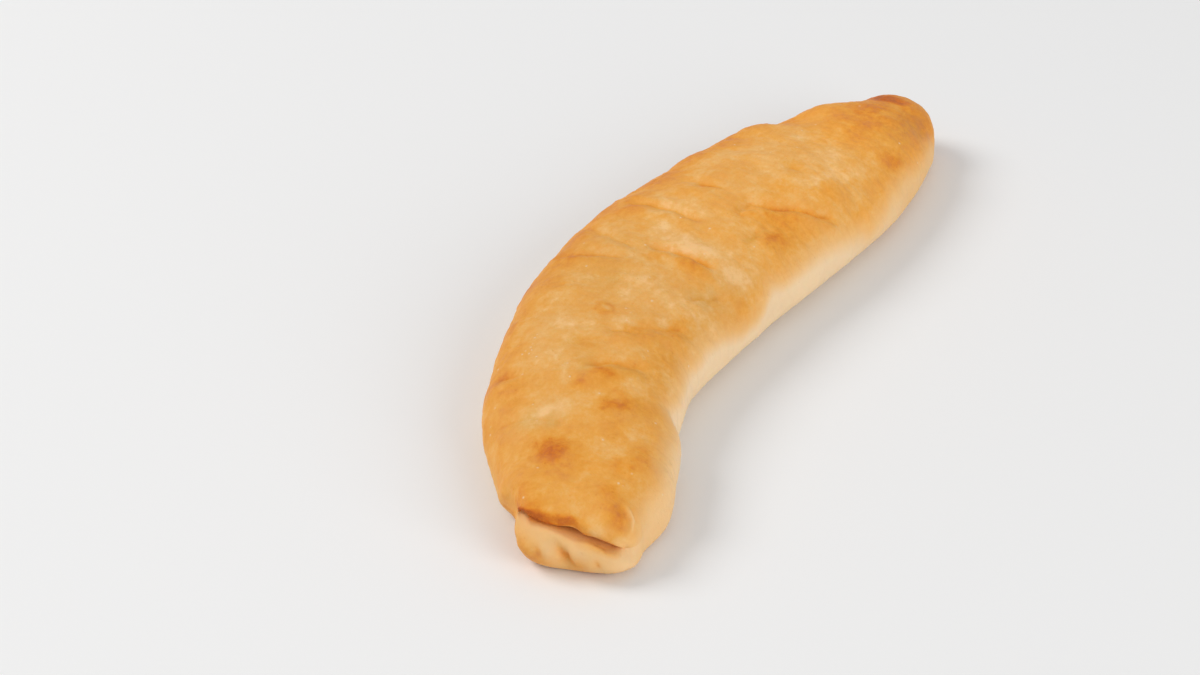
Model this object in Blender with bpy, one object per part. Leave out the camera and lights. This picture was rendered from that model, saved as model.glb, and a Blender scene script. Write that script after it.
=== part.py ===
"""A long stuffed flatbread, modelled as one closed piece of baked dough.

+X runs from the folded end, where the top crust laps over a lower lip of dough, to the rounded
far end. +Z is up, the flat base lies on z = 0, and the origin is the middle of the base's box.
Every size is in metres, unless a table says mm.

The loaf is a loft. Closed rings follow a bent spine, and the rings at the folded end turn back
under the top crust, so that the opening between the two lips is part of the same skin. The relief
of the crust, its lumps, creases and blisters, is then pushed in or out along the skin's normals.
"""

import math

import bmesh
import bpy
import numpy as np

MM = 0.001

# Spine, seen from above: the bread bends to the right twice on its way to the far end.
LENGTH = 276 * MM
START_HEADING = 26.5
BENDS = (
    # where along the spine, how far the turn is spread, how much it turns (degrees)
    (81 * MM, 24 * MM, 29.0),
    (147 * MM, 44 * MM, 15.5),
)
SPINE_MARGIN = 30 * MM
SPINE_STEPS = 1600

# Body stations: distance along the spine, half width, height of the crown.
STATIONS = (
    (30 * MM, 25.5 * MM, 23.0 * MM),
    (52 * MM, 28.0 * MM, 26.0 * MM),
    (82 * MM, 30.0 * MM, 28.5 * MM),
    (120 * MM, 34.5 * MM, 30.0 * MM),
    (165 * MM, 36.0 * MM, 29.5 * MM),
    (200 * MM, 34.5 * MM, 28.0 * MM),
    (228 * MM, 30.5 * MM, 26.0 * MM),
    (246 * MM, 25.0 * MM, 24.5 * MM),
    (262 * MM, 18.2 * MM, 21.0 * MM),
)
MOUTH_START = STATIONS[0][0]
TIP_START = STATIONS[-1][0]

# Cross-section: where the widest level lies, and how square the crown and the base are.
WIDEST_LEVEL = 0.36
CROWN_POWER = 2.35
BASE_POWER = 3.2
BASE_SINK = 1.2 * MM

# Far end: the rounding goes on narrowing as the body does. It is blunt, its lowest crown is a share
# of the full one, and its underside curls up off the base. It has more rings than the body.
TIP_TAPER = 0.4
TIP_POWER = 0.55
TIP_LEVEL = 0.45
TIP_CURL = 5.0 * MM
TIP_CURL_POWER = 2.5
TIP_DENSITY = 1.5

# Folded end, ring by ring from the body round the lips to the bottom of the crevice, in mm.
# The mouth opens to the left: its right corner is closed crust, and its left corner lies further back.
MOUTH_TABLE = (
    # crown s, z, corners: s, half width, z, base s, z, shift left, skew of the corners, roll (degrees)
    (30.0, 23.0, 30.0, 25.5, 8.3, 30.0, -1.2, 0.0, 0.0, 0.0),
    (20.0, 22.3, 20.5, 23.8, 8.6, 15.0, -1.2, 0.8, 0.8, 1.0),
    (11.5, 21.0, 12.3, 18.8, 9.2, 6.0, -0.6, 4.8, 2.6, 3.0),
    (6.0, 18.9, 8.8, 17.4, 10.0, 1.5, 1.2, 5.2, 4.6, 6.0),
    (2.8, 16.4, 7.8, 16.0, 10.6, -0.5, 6.2, 6.3, 6.2, 8.0),
    (3.4, 14.0, 8.0, 15.0, 10.9, 0.9, 9.3, 6.6, 6.8, 9.0),
    (8.0, 13.0, 10.0, 13.8, 11.1, 4.5, 10.5, 7.2, 5.6, 9.0),
    (14.5, 12.6, 14.0, 12.8, 11.4, 12.0, 11.1, 7.0, 4.0, 9.0),
)
LIP_ROW = 4

# How pointed the folded end is, seen from above, between its crown line and its corners, and how
# much fuller its lower half is. The fullness is whole at this share of the way down.
MOUTH_POWER = 0.9
LOWER_FULLNESS = 0.18
FULLNESS_WHOLE = 0.6

# The edge of the top lip sags and rises along its run, in mm: place across and its radius, rise.
LIP_STEPS = (
    (-14.0, 3.5, -0.7),
    (-5.5, 2.8, 1.9),
    (-4.2, 1.5, 0.7),
    (-1.6, 1.6, -0.9),
    (1.5, 3.0, -0.6),
)
LIP_STEPS_AT = -2.0
LIP_STEPS_REACH = 4.5

# The lower lip rises to the top crust, and sinks away from it inside, on the right: place across
# and its radius, distance from the lip and its reach, rise.
LOWER_LIP_RISES = (
    (-11.0, 6.5, -5.0, 5.0, 2.6),
    (-11.0, 6.0, -12.0, 5.0, 1.6),
    (1.0, 5.0, -4.5, 5.0, 2.6),
    (5.0, 4.0, -9.0, 3.0, -0.8),
)

# At the left corner of the mouth the lips reach forwards and up, in mm.
CORNER_FORWARDS = 3.0
CORNER_UP = 2.4

# The left side of the folded end is drawn in by this much, in mm, and at the lip by a share of it.
# Distances are from the lip, back over the skin: where the top crust is wide again, where the flank
# below it is, and where the lower lip stops bulging out towards the base.
NARROWING = 4.7
NARROWING_AT_LIP = 0.5
NARROWING_LIP_REACH = 8.0
NARROWING_FADE = (22.0, 36.0)
UNDERCUT_FADE = (32.0, 46.0)
UNDERCUT_DEPTH = 0.7
LOWER_BULGE_FADE = (14.0, 24.0)

# The right side bulges out low down, in mm. At the corner only a share of the bulge is left, and
# it grows to the whole between these shares of the way down.
RIGHT_CHEEK = 3.8
RIGHT_CHEEK_AT = 12.0
RIGHT_CHEEK_REACH = 12.0
RIGHT_CHEEK_AT_CORNER = 0.3
RIGHT_CHEEK_GROWS = (0.1, 0.8)

# How round the lower half of the folded end grows, on its left and on its right.
LEFT_ROUNDNESS = 0.35
RIGHT_ROUNDNESS = 1.0

# Lumps all over the crust, in mm.
LUMPS = (
    # height, cell along the spine, cell around the loaf, seed
    (0.8, 24.0, 20.0, 5),
    (0.5, 9.0, 15.0, 11),
)
LUMP_GRID = 64
LUMP_GRID_START = 20

# Creases across the top crust, in mm: points on the line (along the spine, around from the crown to
# the right), how deep, how wide, and how far the dough on the near side puffs up.
CREASES = (
    (((160, 15), (164, 10.5), (171, 9.5), (175, 16.5), (180, 21.5), (184, 27.5), (190, 32.5)), 1.5, 3.0, 1.0),
    (((150, -24), (150.5, -12), (151, -2), (150.5, 7)), 1.0, 2.6, 0.6),
    (((170, -18), (170.5, -9), (170.5, 0), (168, 6)), 0.9, 2.6, 0.7),
    (((130, -4), (130.8, 5), (131.2, 13), (130.5, 23)), 1.4, 2.6, 1.0),
    (((118, -31), (117.5, -20), (118.5, -10), (120, -4)), 1.1, 2.6, 0.7),
    (((138, -34), (132, -24), (127.5, -14), (127.5, -3)), 0.8, 2.4, 0.4),
    (((81, 2), (85, 10), (91, 18), (98, 27)), 1.2, 3.2, 0.9),
    (((75.5, -6), (76.3, 1), (76.5, 11)), 0.5, 3.0, 0.5),
    (((64, -1), (65.5, 6), (66.5, 12), (66, 20)), 0.9, 2.6, 0.9),
    (((66.5, -32), (65.5, -25), (63.5, -18)), 1.1, 2.6, 0.8),
    (((47, -29), (44.5, -18), (41, -6)), 0.7, 2.8, 0.5),
    (((110, 19), (117, 26.5), (125, 31)), 0.7, 2.6, 0.4),
    (((195, 3), (197, 8), (198, 13)), 0.8, 2.6, 0.5),
    (((149, 20.5), (155, 22), (161, 20)), 0.6, 2.6, 0.4),
)
CREASE_TAPER = 5.0

# The puffed ridge beside a crease: how far from it and how wide, as shares of the crease's width.
RIDGE_OFFSET = 2.0
RIDGE_WIDTH = 1.4

# Blisters, and dents with a height below zero, in mm: centre, radius along, radius around, height.
BLISTERS = (
    ((28, -8), 5.5, 6.0, 1.1),
    ((128, 16), 4.0, 6.0, 0.6),
    ((93, -1), 2.2, 3.0, 0.7),
    ((59, 2), 4.0, 6.0, 0.8),
    ((160, 28), 6.0, 7.0, 0.9),
    ((196, 24), 7.0, 7.0, 0.9),
    ((5, 10), 5.0, 3.0, 1.0),
    ((42, -10), 4.0, 7.0, -0.7),
    ((218, 4), 8.0, 9.0, -0.7),
    ((215, -25), 11.0, 10.0, 1.6),
    ((231, -18), 8.0, 12.0, -2.4),
    ((244, -14), 9.0, 9.0, 0.9),
    ((57, -36), 13.0, 10.0, 1.2),
    ((57, 35), 8.0, 10.0, -2.0),
    ((43, 38), 7.0, 9.0, 0.6),
)

# Lumps on the lower lip, in mm: across to the right, up, radius, height.
LOWER_LIP_LUMPS = (
    (-16.0, 9.0, 4.5, 0.9),
    (-12.0, 8.5, 3.2, 0.9),
    (-7.5, 6.0, 2.4, -1.6),
    (-2.0, 9.0, 3.6, 0.9),
    (5.0, 6.0, 3.5, 0.6),
)

# Between these heights above the base, the relief grows from nothing to all of it, in mm. At the
# lip it does so over this many rings on each side.
RELIEF_FROM = 2.0
RELIEF_FULL = 9.0
RELIEF_LIP_RINGS = 2

# Loft resolution. The base's points are closer together on its walls than under it, by these
# weights for the distance across and down.
RING_SPACING = 2.4 * MM
CROWN_STEPS = 30
BASE_STEPS = 12
BASE_WEIGHTS = (0.6, 0.5)
BASE_SAMPLES = 2000

# Baked dough: golden crust, linear colour.
CRUST_COLOUR = (0.74, 0.37, 0.11, 1.0)
CRUST_ROUGHNESS = 0.55


def smooth_through(x, knots, values):
    """Cubic curve through (knots, values) with finite-difference slopes, read at x."""
    knots = np.asarray(knots, float)
    values = np.asarray(values, float)
    slopes = np.gradient(values, knots, axis=0)
    k = int(np.clip(np.searchsorted(knots, x, side="right") - 1, 0, len(knots) - 2))
    span = knots[k + 1] - knots[k]
    t = np.clip((x - knots[k]) / span, 0, 1)
    return (
        (2 * t**3 - 3 * t**2 + 1) * values[k]
        + (t**3 - 2 * t**2 + t) * span * slopes[k]
        + (3 * t**2 - 2 * t**3) * values[k + 1]
        + (t**3 - t**2) * span * slopes[k + 1]
    )


def smooth_step(low, high, value):
    t = np.clip((value - low) / (high - low), 0, 1)
    return t * t * (3 - 2 * t)


def spine(s):
    """Plan position and right-hand direction at distance s along the bent spine."""
    fine = np.linspace(-SPINE_MARGIN, LENGTH + SPINE_MARGIN, SPINE_STEPS)
    heading = np.full_like(fine, math.radians(START_HEADING))
    for at, spread, turn in BENDS:
        heading -= math.radians(turn) * 0.5 * (1 + np.tanh((fine - at) / spread))
    step = fine[1] - fine[0]
    x = np.cumsum(np.cos(heading)) * step
    y = np.cumsum(np.sin(heading)) * step
    px, py = np.interp(s, fine, x), np.interp(s, fine, y)
    angle = np.interp(s, fine, heading)
    return np.stack([px, py], -1), np.stack([np.sin(angle), -np.cos(angle)], -1)


def base_angles():
    """Angles of the base's points, for even spacing over its walls."""
    fine = np.linspace(0, math.pi / 2, BASE_SAMPLES)
    across, down = (wave(fine) ** (2 / BASE_POWER) * w for wave, w in zip((np.cos, np.sin), BASE_WEIGHTS))
    gone = np.concatenate([[0], np.cumsum(np.hypot(np.diff(across), np.diff(down)))])
    quarter = np.interp(np.linspace(0, gone[-1], BASE_STEPS // 2 + 1), gone, fine)
    return np.concatenate([math.pi + quarter, 2 * math.pi - quarter[-2:0:-1]])


def section():
    """The unit cross-section: which points are crown, their cosine and sine, and how far they
    reach out and up or down."""
    crown = np.linspace(0, math.pi, CROWN_STEPS + 1)[:-1]
    angles = np.concatenate([crown, base_angles()])
    c, up = np.cos(angles), np.abs(np.sin(angles))
    above = np.arange(len(angles)) <= CROWN_STEPS
    power = np.where(above, 2 / CROWN_POWER, 2 / BASE_POWER)
    return above, c, up, np.sign(c) * np.abs(c) ** power, up**power


def mouth_reach():
    """Distance from the body to each row of the mouth's table, over the skin, in mm."""
    table = np.array(MOUTH_TABLE)
    steps = np.linalg.norm(np.diff(table[:, (0, 1, 3, 5, 6)], axis=0), axis=1)
    return np.concatenate([[0], np.cumsum(steps)])


def peak(value, middle, reach):
    return np.exp(-(((value - middle) / reach) ** 2))


def narrowing(past_lip, above, c, lift):
    """How far the left side of the folded end is drawn in, in mm."""
    rise = 1 - (1 - NARROWING_AT_LIP) * peak(past_lip, 0, NARROWING_LIP_REACH)
    top = rise * (1 - smooth_step(*NARROWING_FADE, past_lip))
    low = rise * (1 - smooth_step(*UNDERCUT_FADE, past_lip))
    low = top + (low - top) * smooth_step(0, UNDERCUT_DEPTH, lift)
    low = low * (1 - lift * (1 - smooth_step(*LOWER_BULGE_FADE, past_lip)))
    return NARROWING * (c < 0) * np.where(above, top * c**4, low)


def right_cheek(past_lip, above, c, lift):
    """How far the right side of the folded end bulges out, in mm."""
    corner = RIGHT_CHEEK_AT_CORNER
    share = np.where(above, corner * c**4, corner + (1 - corner) * smooth_step(*RIGHT_CHEEK_GROWS, lift))
    return RIGHT_CHEEK * share * np.maximum(c, 0) * peak(past_lip, RIGHT_CHEEK_AT, RIGHT_CHEEK_REACH)


def mouth_ring(row, past_lip, roundness):
    """One ring of the folded end, from a row of the table. Its lower half grows round."""
    crown_s, crown_z, side_s, half, side_z, base_s, base_z, left, skew, roll = row
    above, c, up, out, lift = section()
    side_roundness = roundness * np.where(c < 0, LEFT_ROUNDNESS, RIGHT_ROUNDNESS)
    out = np.where(above, out, out + (c - out) * side_roundness)
    reach = up**MOUTH_POWER + LOWER_FULLNESS * smooth_step(0, FULLNESS_WHOLE, up) * (1 - up**3) * ~above
    s = side_s + (np.where(above, crown_s, base_s) - side_s) * reach - skew * c
    across = half * out
    rise = (np.where(above, crown_z, base_z) - side_z) * lift
    turn = math.radians(roll)
    q = across * math.cos(turn) + rise * math.sin(turn) - left
    z = rise * math.cos(turn) - across * math.sin(turn) + side_z
    q = q + narrowing(past_lip, above, c, lift) + right_cheek(past_lip, above, c, lift)
    corner = np.minimum(c, 0) ** 2 * roundness
    s = s - CORNER_FORWARDS * corner
    z = z + CORNER_UP * corner * np.where(above, 1, 1 - up)
    for middle, radius, height in LIP_STEPS:
        z = z + height * peak(q, middle, radius) * peak(past_lip, LIP_STEPS_AT, LIP_STEPS_REACH) * up * above
    for middle, radius, at, reach_of_rise, height in LOWER_LIP_RISES:
        z = z + height * peak(q, middle, radius) * peak(past_lip, at, reach_of_rise) * up * ~above
    return np.stack([s, q, np.maximum(z, 0)], -1) * MM


def mouth_rings():
    """Rings from the bottom of the crevice out round the lips and back along the body."""
    reach = mouth_reach()
    count = round(reach[-1] * MM / RING_SPACING)
    rings = []
    for at in np.linspace(reach[-1], 0, count + 1):
        roundness = smooth_step(0, reach[LIP_ROW], at)
        rings.append(mouth_ring(smooth_through(at, reach, MOUTH_TABLE), reach[LIP_ROW] - at, roundness))
    return rings


def body_ring(s, half, crown, curl=0.0):
    """One ring square to the spine, with its lower side pressed flat on the base or curled up."""
    above, _, _, out, lift = section()
    side_z = crown * WIDEST_LEVEL + curl / 2
    drop = side_z + BASE_SINK - curl
    z = side_z + np.where(above, crown - side_z, -drop) * lift
    return np.stack([np.full_like(z, s), half * out, np.maximum(z, 0)], -1)


def body_rings():
    knots = np.array(STATIONS)
    count = round((TIP_START - MOUTH_START) / RING_SPACING)
    rings = []
    for s in np.linspace(MOUTH_START, TIP_START, count + 1)[1:]:
        half, crown = smooth_through(s, knots[:, 0], knots[:, 1:])
        rings.append(body_ring(s, half, crown))
    return rings


def tip_rings():
    """An elliptical rounding at the far end. The last ring is small, and a fan closes it."""
    _, half, crown = STATIONS[-1]
    reach = LENGTH - TIP_START
    count = round(reach / RING_SPACING * TIP_DENSITY)
    rings = []
    for share in np.linspace(0, 1, count + 1)[1:-1]:
        turn = share * math.pi / 2
        gone = reach * math.sin(turn)
        shrink = math.cos(turn) ** TIP_POWER
        height = crown * (TIP_LEVEL + (1 - TIP_LEVEL) * shrink)
        width = (half - TIP_TAPER * gone) * shrink
        curl = (TIP_CURL + BASE_SINK) * (1 - shrink) ** TIP_CURL_POWER
        rings.append(body_ring(TIP_START + gone, width, height, curl))
    return rings


def around(rings):
    """Distance around each ring from the crown line, positive to the right."""
    crown = CROWN_STEPS // 2
    turned = np.roll(rings, -crown, axis=1)
    sides = np.linalg.norm(np.roll(turned, -1, axis=1) - turned, axis=-1)
    gone = np.cumsum(sides, axis=1) - sides
    total = sides.sum(axis=1, keepdims=True)
    arc = np.where(gone < total / 2, -gone, total - gone)
    return np.roll(arc, crown, axis=1)


def to_plan(points):
    """Bend straight (s, q, z) points along the spine."""
    at, right = spine(points[..., 0])
    flat = at + right * points[..., 1:2]
    return np.concatenate([flat, points[..., 2:]], -1)


def skin_normals(points):
    """Outward normals of a grid of rings that closes around its second axis."""
    along = np.gradient(points, axis=0)
    about = np.roll(points, -1, axis=1) - np.roll(points, 1, axis=1)
    normal = np.cross(along, about)
    size = np.linalg.norm(normal, axis=-1, keepdims=True)
    return normal / np.maximum(size, 1e-12)


def random_lumps(s, a, cell_s, cell_a, seed):
    """Smooth heights from -1 to 1 that change from one cell of the crust to the next."""
    grid = np.random.default_rng(seed).uniform(-1, 1, (LUMP_GRID, LUMP_GRID))
    u, v = s / cell_s + LUMP_GRID_START, a / cell_a + LUMP_GRID_START
    i, j = np.floor(u).astype(int), np.floor(v).astype(int)
    fu, fv = smooth_step(0, 1, u - i), smooth_step(0, 1, v - j)
    near = grid[i, j] * (1 - fv) + grid[i, j + 1] * fv
    far = grid[i + 1, j] * (1 - fv) + grid[i + 1, j + 1] * fv
    return near * (1 - fu) + far * fu


def beside_line(s, a, points):
    """Distance from a line of points, positive on its far side, and a fade towards its ends."""
    best, signed = np.full_like(s, np.inf), np.zeros_like(s)
    gone, total = np.zeros_like(s), 0.0
    for (s0, a0), (s1, a1) in zip(points, points[1:]):
        length = math.hypot(s1 - s0, a1 - a0)
        ds, da = (s1 - s0) / length, (a1 - a0) / length
        along = np.clip((s - s0) * ds + (a - a0) * da, 0, length)
        off_s, off_a = s - s0 - along * ds, a - a0 - along * da
        far = np.hypot(off_s, off_a)
        nearer = far < best
        signed = np.where(nearer, far * np.where(off_s * da < off_a * ds, -1, 1), signed)
        gone = np.where(nearer, along + total, gone)
        best = np.minimum(far, best)
        total += length
    taper = min(CREASE_TAPER, total / 2)
    return signed, smooth_step(0, taper, gone) * smooth_step(0, taper, total - gone)


def crease(s, a, points, depth, width, puff):
    """A groove along a line, with a puffed ridge on its near side."""
    beside, ends = beside_line(s, a, points)
    ridge = peak(beside, -RIDGE_OFFSET * width, RIDGE_WIDTH * width)
    return ends * (puff * ridge - depth * peak(beside, 0, width))


def blister(s, a, centre, radius_s, radius_a, height):
    far = ((s - centre[0]) / radius_s) ** 2 + ((a - centre[1]) / radius_a) ** 2
    return height * np.exp(-far)


def relief(rings, mouth_count):
    """How far each point moves out along its normal."""
    s, q, z = rings[..., 0] / MM, rings[..., 1] / MM, rings[..., 2] / MM
    a = around(rings) / MM
    height = np.zeros_like(s)
    for size, cell_s, cell_a, seed in LUMPS:
        height += size * random_lumps(s, a, cell_s, cell_a, seed)
    for points, depth, width, puff in CREASES:
        height += crease(s, a, points, depth, width, puff)
    for centre, radius_s, radius_a, size in BLISTERS:
        height += blister(s, a, centre, radius_s, radius_a, size)

    # The relief fades towards the base, and inside the crevice.
    reach = mouth_reach()
    number = np.arange(len(rings))[:, None]
    from_lip = number - (1 - reach[LIP_ROW] / reach[-1]) * (mouth_count - 1)
    height *= smooth_step(RELIEF_FROM, RELIEF_FULL, z)
    height *= smooth_step(-RELIEF_LIP_RINGS, RELIEF_LIP_RINGS, from_lip)

    # The lower lip is the lower half of the rings of the mouth.
    front = (number < mouth_count) & (np.arange(rings.shape[1]) > CROWN_STEPS) & (z > 0)
    for across, up, radius, size in LOWER_LIP_LUMPS:
        far = ((q - across) ** 2 + (z - up) ** 2) / radius**2
        height += size * np.exp(-far) * front
    return height * MM


def loaf_points():
    """The finished skin, ring by ring, with the middle of its box at the origin."""
    mouth = mouth_rings()
    rings = np.array(mouth + body_rings() + tip_rings())
    points = to_plan(rings)
    points += skin_normals(points) * relief(rings, len(mouth))[..., None]
    points[..., 2] = np.maximum(points[..., 2], 0)
    low, high = points.min((0, 1)), points.max((0, 1))
    points[..., :2] -= (low[:2] + high[:2]) / 2
    return points


def build_loaf():
    """The solid. Each quad starts at its far ring, so that it splits along the slanting creases."""
    points = loaf_points()
    mesh = bmesh.new()
    verts = [[mesh.verts.new(p) for p in ring] for ring in points]
    count = points.shape[1]
    for near, far in zip(verts, verts[1:]):
        for j in range(count):
            k = (j + 1) % count
            mesh.faces.new((far[j], far[k], near[k], near[j]))
    close_ring(mesh, verts[0])
    close_ring(mesh, verts[-1])
    bmesh.ops.recalc_face_normals(mesh, faces=mesh.faces)
    data = bpy.data.meshes.new("khachapuri")
    mesh.to_mesh(data)
    mesh.free()
    data.shade_smooth()
    loaf = bpy.data.objects.new("khachapuri", data)
    bpy.context.scene.collection.objects.link(loaf)
    return loaf


def close_ring(mesh, ring):
    """A fan of triangles round the middle of a ring."""
    middle = mesh.verts.new(np.mean([v.co for v in ring], 0))
    for j in range(len(ring)):
        mesh.faces.new((ring[j], middle, ring[(j + 1) % len(ring)]))


def crust_material():
    material = bpy.data.materials.new("baked_crust")
    material.use_nodes = True
    shader = material.node_tree.nodes["Principled BSDF"]
    shader.inputs["Base Color"].default_value = CRUST_COLOUR
    shader.inputs["Roughness"].default_value = CRUST_ROUGHNESS
    shader.inputs["Metallic"].default_value = 0.0
    return material


def main():
    for thing in list(bpy.data.objects):
        bpy.data.objects.remove(thing)
    loaf = build_loaf()
    loaf.data.materials.append(crust_material())


main()
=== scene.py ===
# %% [markdown]
# # A long stuffed flatbread
#
# This file dresses one baked, filled flatbread: a rope of yeast dough rolled flat round its filling,
# folded shut at one end and bent a little to the side on its way to the oven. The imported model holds
# its true form. Here that form is made again with a finer skin, browned, creased and lit.
#
# The cells run in order: the frame, the form, the relief of the crust, the browning painted on it,
# the fine skin made by Geometry Nodes, the shader, and last the floor, light and camera.

# %% The frame and the tools
import math

import bpy
import numpy as np
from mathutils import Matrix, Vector
from mathutils.bvhtree import BVHTree


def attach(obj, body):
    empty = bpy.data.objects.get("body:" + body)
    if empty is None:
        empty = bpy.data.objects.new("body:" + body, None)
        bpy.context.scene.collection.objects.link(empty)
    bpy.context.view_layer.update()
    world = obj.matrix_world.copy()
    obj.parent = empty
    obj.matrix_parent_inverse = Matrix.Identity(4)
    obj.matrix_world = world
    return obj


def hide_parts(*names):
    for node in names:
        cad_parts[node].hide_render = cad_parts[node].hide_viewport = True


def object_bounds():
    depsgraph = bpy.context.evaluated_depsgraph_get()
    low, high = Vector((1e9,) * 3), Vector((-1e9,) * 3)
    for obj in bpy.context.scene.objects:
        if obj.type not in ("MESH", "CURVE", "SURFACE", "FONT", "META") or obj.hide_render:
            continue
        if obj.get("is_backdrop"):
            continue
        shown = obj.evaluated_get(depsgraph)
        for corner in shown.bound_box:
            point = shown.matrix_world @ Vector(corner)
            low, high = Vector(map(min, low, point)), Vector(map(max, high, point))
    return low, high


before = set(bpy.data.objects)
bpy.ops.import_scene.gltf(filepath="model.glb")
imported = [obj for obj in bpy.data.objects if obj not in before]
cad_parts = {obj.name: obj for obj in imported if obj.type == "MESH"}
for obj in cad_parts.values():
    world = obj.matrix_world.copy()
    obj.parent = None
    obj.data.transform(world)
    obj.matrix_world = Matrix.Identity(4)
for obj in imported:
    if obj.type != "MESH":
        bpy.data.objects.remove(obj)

cad_low, cad_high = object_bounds()
cad_size = [round((b - a) * 1000, 1) for a, b in zip(cad_low, cad_high)]
print("packed model, mm:", cad_size)

MM = 0.001


def smooth_step(low, high, value):
    t = np.clip((value - low) / (high - low), 0, 1)
    return t * t * (3 - 2 * t)


def bell(value, width):
    """A soft bump: 1 where the value is 0, fading on both sides within about this width."""
    return np.exp(-((value / width) ** 2))


def between(low, high, soft, value):
    """1 from low to high, with an edge that is this soft at both ends."""
    return smooth_step(low - soft, low + soft, value) * (1 - smooth_step(high - soft, high + soft, value))


def put_in_scene(name, data):
    thing = bpy.data.objects.new(name, data)
    bpy.context.scene.collection.objects.link(thing)
    return thing


# %% [markdown]
# ## The form: a loft along a bent spine
#
# The real bread is a soft roll that was laid down in an arc. Its form could be sculpted, or cut from
# a bent cylinder, but a loft says what the baker did: how wide and how high the roll is at each step
# along its middle line. So closed rings follow a spine that turns twice, and each ring has a low,
# broad crown and a flat base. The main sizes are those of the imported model.

# %% Sizes of the roll
LENGTH = 276 * MM
START_HEADING = 26.5
BENDS = (
    # where along the spine, how far the turn is spread, how much it turns (degrees)
    (81 * MM, 24 * MM, 29),
    (147 * MM, 44 * MM, 15.5),
)
SPINE_MARGIN = 30 * MM
SPINE_STEPS = 1600

STATIONS = (
    # distance along the spine, half width, height of the crown
    (30 * MM, 25.5 * MM, 23 * MM),
    (52 * MM, 28 * MM, 26 * MM),
    (82 * MM, 30 * MM, 28.5 * MM),
    (120 * MM, 34.5 * MM, 30 * MM),
    (165 * MM, 36 * MM, 29.5 * MM),
    (200 * MM, 34.5 * MM, 28 * MM),
    (228 * MM, 30.5 * MM, 26 * MM),
    (246 * MM, 25 * MM, 24.5 * MM),
    (262 * MM, 18.2 * MM, 21 * MM),
)
MOUTH_START = STATIONS[0][0]
TIP_START = STATIONS[-1][0]

WIDEST_LEVEL = 0.36
CROWN_POWER = 2.35
BASE_POWER = 3.2
BASE_SINK = 1.2 * MM

TIP_TAPER = 0.4
TIP_POWER = 0.55
TIP_LEVEL = 0.45
TIP_CURL = 5.0 * MM
TIP_CURL_POWER = 2.5
TIP_DENSITY = 1.5

# The rings are close enough for wrinkles of two millimetres.
RING_SPACING = 0.66 * MM
CROWN_STEPS = 140
BASE_STEPS = 56
BASE_WEIGHTS = (0.6, 0.5)
print("length along the spine, mm:", round(LENGTH / MM, 1))


# %% Rings of the body
def smooth_through(x, knots, values):
    """Cubic curve through (knots, values) with finite-difference slopes, read at every x."""
    knots = np.asarray(knots, float)
    values = np.asarray(values, float)
    slopes = np.gradient(values, knots, axis=0)
    k = np.clip(np.searchsorted(knots, x, side="right") - 1, 0, len(knots) - 2)
    span = (knots[k + 1] - knots[k])[:, None]
    t = np.clip((x - knots[k])[:, None] / span, 0, 1)
    return (
        (2 * t**3 - 3 * t**2 + 1) * values[k]
        + (t**3 - 2 * t**2 + t) * span * slopes[k]
        + (3 * t**2 - 2 * t**3) * values[k + 1]
        + (t**3 - t**2) * span * slopes[k + 1]
    )


def base_angles():
    """Angles of the base's points, evenly spaced over the skin but closer on the walls."""
    fine = np.linspace(0, math.pi / 2, SPINE_STEPS)
    across, down = (wave(fine) ** (2 / BASE_POWER) * w for wave, w in zip((np.cos, np.sin), BASE_WEIGHTS))
    gone = np.concatenate([[0], np.cumsum(np.hypot(np.diff(across), np.diff(down)))])
    quarter = np.interp(np.linspace(0, gone[-1], BASE_STEPS // 2 + 1), gone, fine)
    return np.concatenate([math.pi + quarter, 2 * math.pi - quarter[-2:0:-1]])


def section():
    """The unit cross-section: which points are crown, their cosine and sine, and how far they
    reach out and up or down."""
    crown = np.linspace(0, math.pi, CROWN_STEPS + 1)[:-1]
    angles = np.concatenate([crown, base_angles()])
    c, up = np.cos(angles), np.abs(np.sin(angles))
    above = np.arange(len(angles)) <= CROWN_STEPS
    power = np.where(above, 2 / CROWN_POWER, 2 / BASE_POWER)
    return above, c, up, np.sign(c) * np.abs(c) ** power, up**power


def body_rings(s, half, crown, curl=0.0):
    """Rings square to the spine, with their lower side pressed flat on the base or curled up."""
    above, _, _, out, lift = section()
    s, half, crown, curl = (np.reshape(v, (-1, 1)) for v in (s, half, crown, curl))
    side_z = crown * WIDEST_LEVEL + curl / 2
    drop = side_z + BASE_SINK - curl
    z = side_z + np.where(above, crown - side_z, -drop) * lift
    return np.stack([s + 0 * z, half * out, np.maximum(z, 0)], -1)


def trunk_rings():
    knots = np.array(STATIONS)
    count = round((TIP_START - MOUTH_START) / RING_SPACING)
    s = np.linspace(MOUTH_START, TIP_START, count + 1)[1:]
    half, crown = smooth_through(s, knots[:, 0], knots[:, 1:]).T
    return body_rings(s, half, crown)


def tip_rings():
    """The blunt, rounded far end."""
    _, half, crown = STATIONS[-1]
    reach = LENGTH - TIP_START
    count = round(reach / RING_SPACING * TIP_DENSITY)
    turn = np.linspace(0, 1, count + 1)[1:-1] * math.pi / 2
    gone = reach * np.sin(turn)
    shrink = np.cos(turn) ** TIP_POWER
    height = crown * (TIP_LEVEL + (1 - TIP_LEVEL) * shrink)
    width = (half - TIP_TAPER * gone) * shrink
    curl = (TIP_CURL + BASE_SINK) * (1 - shrink) ** TIP_CURL_POWER
    return body_rings(TIP_START + gone, width, height, curl)


trunk, tip = trunk_rings(), tip_rings()
print("rings in the trunk and the tip:", len(trunk), len(tip))

# %% [markdown]
# ## The folded end
#
# At the near end the baker folded the top sheet over the bottom one. The top crust laps over a paler
# lower lip, and between them is a slanting mouth that shows only dough. The lips could be two more
# pieces, but the real dough is one skin. So the same rings go on: they round the lips, turn back
# under the top crust and close at the bottom of the crevice. A short table gives each ring's crown,
# corners and base.

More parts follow.
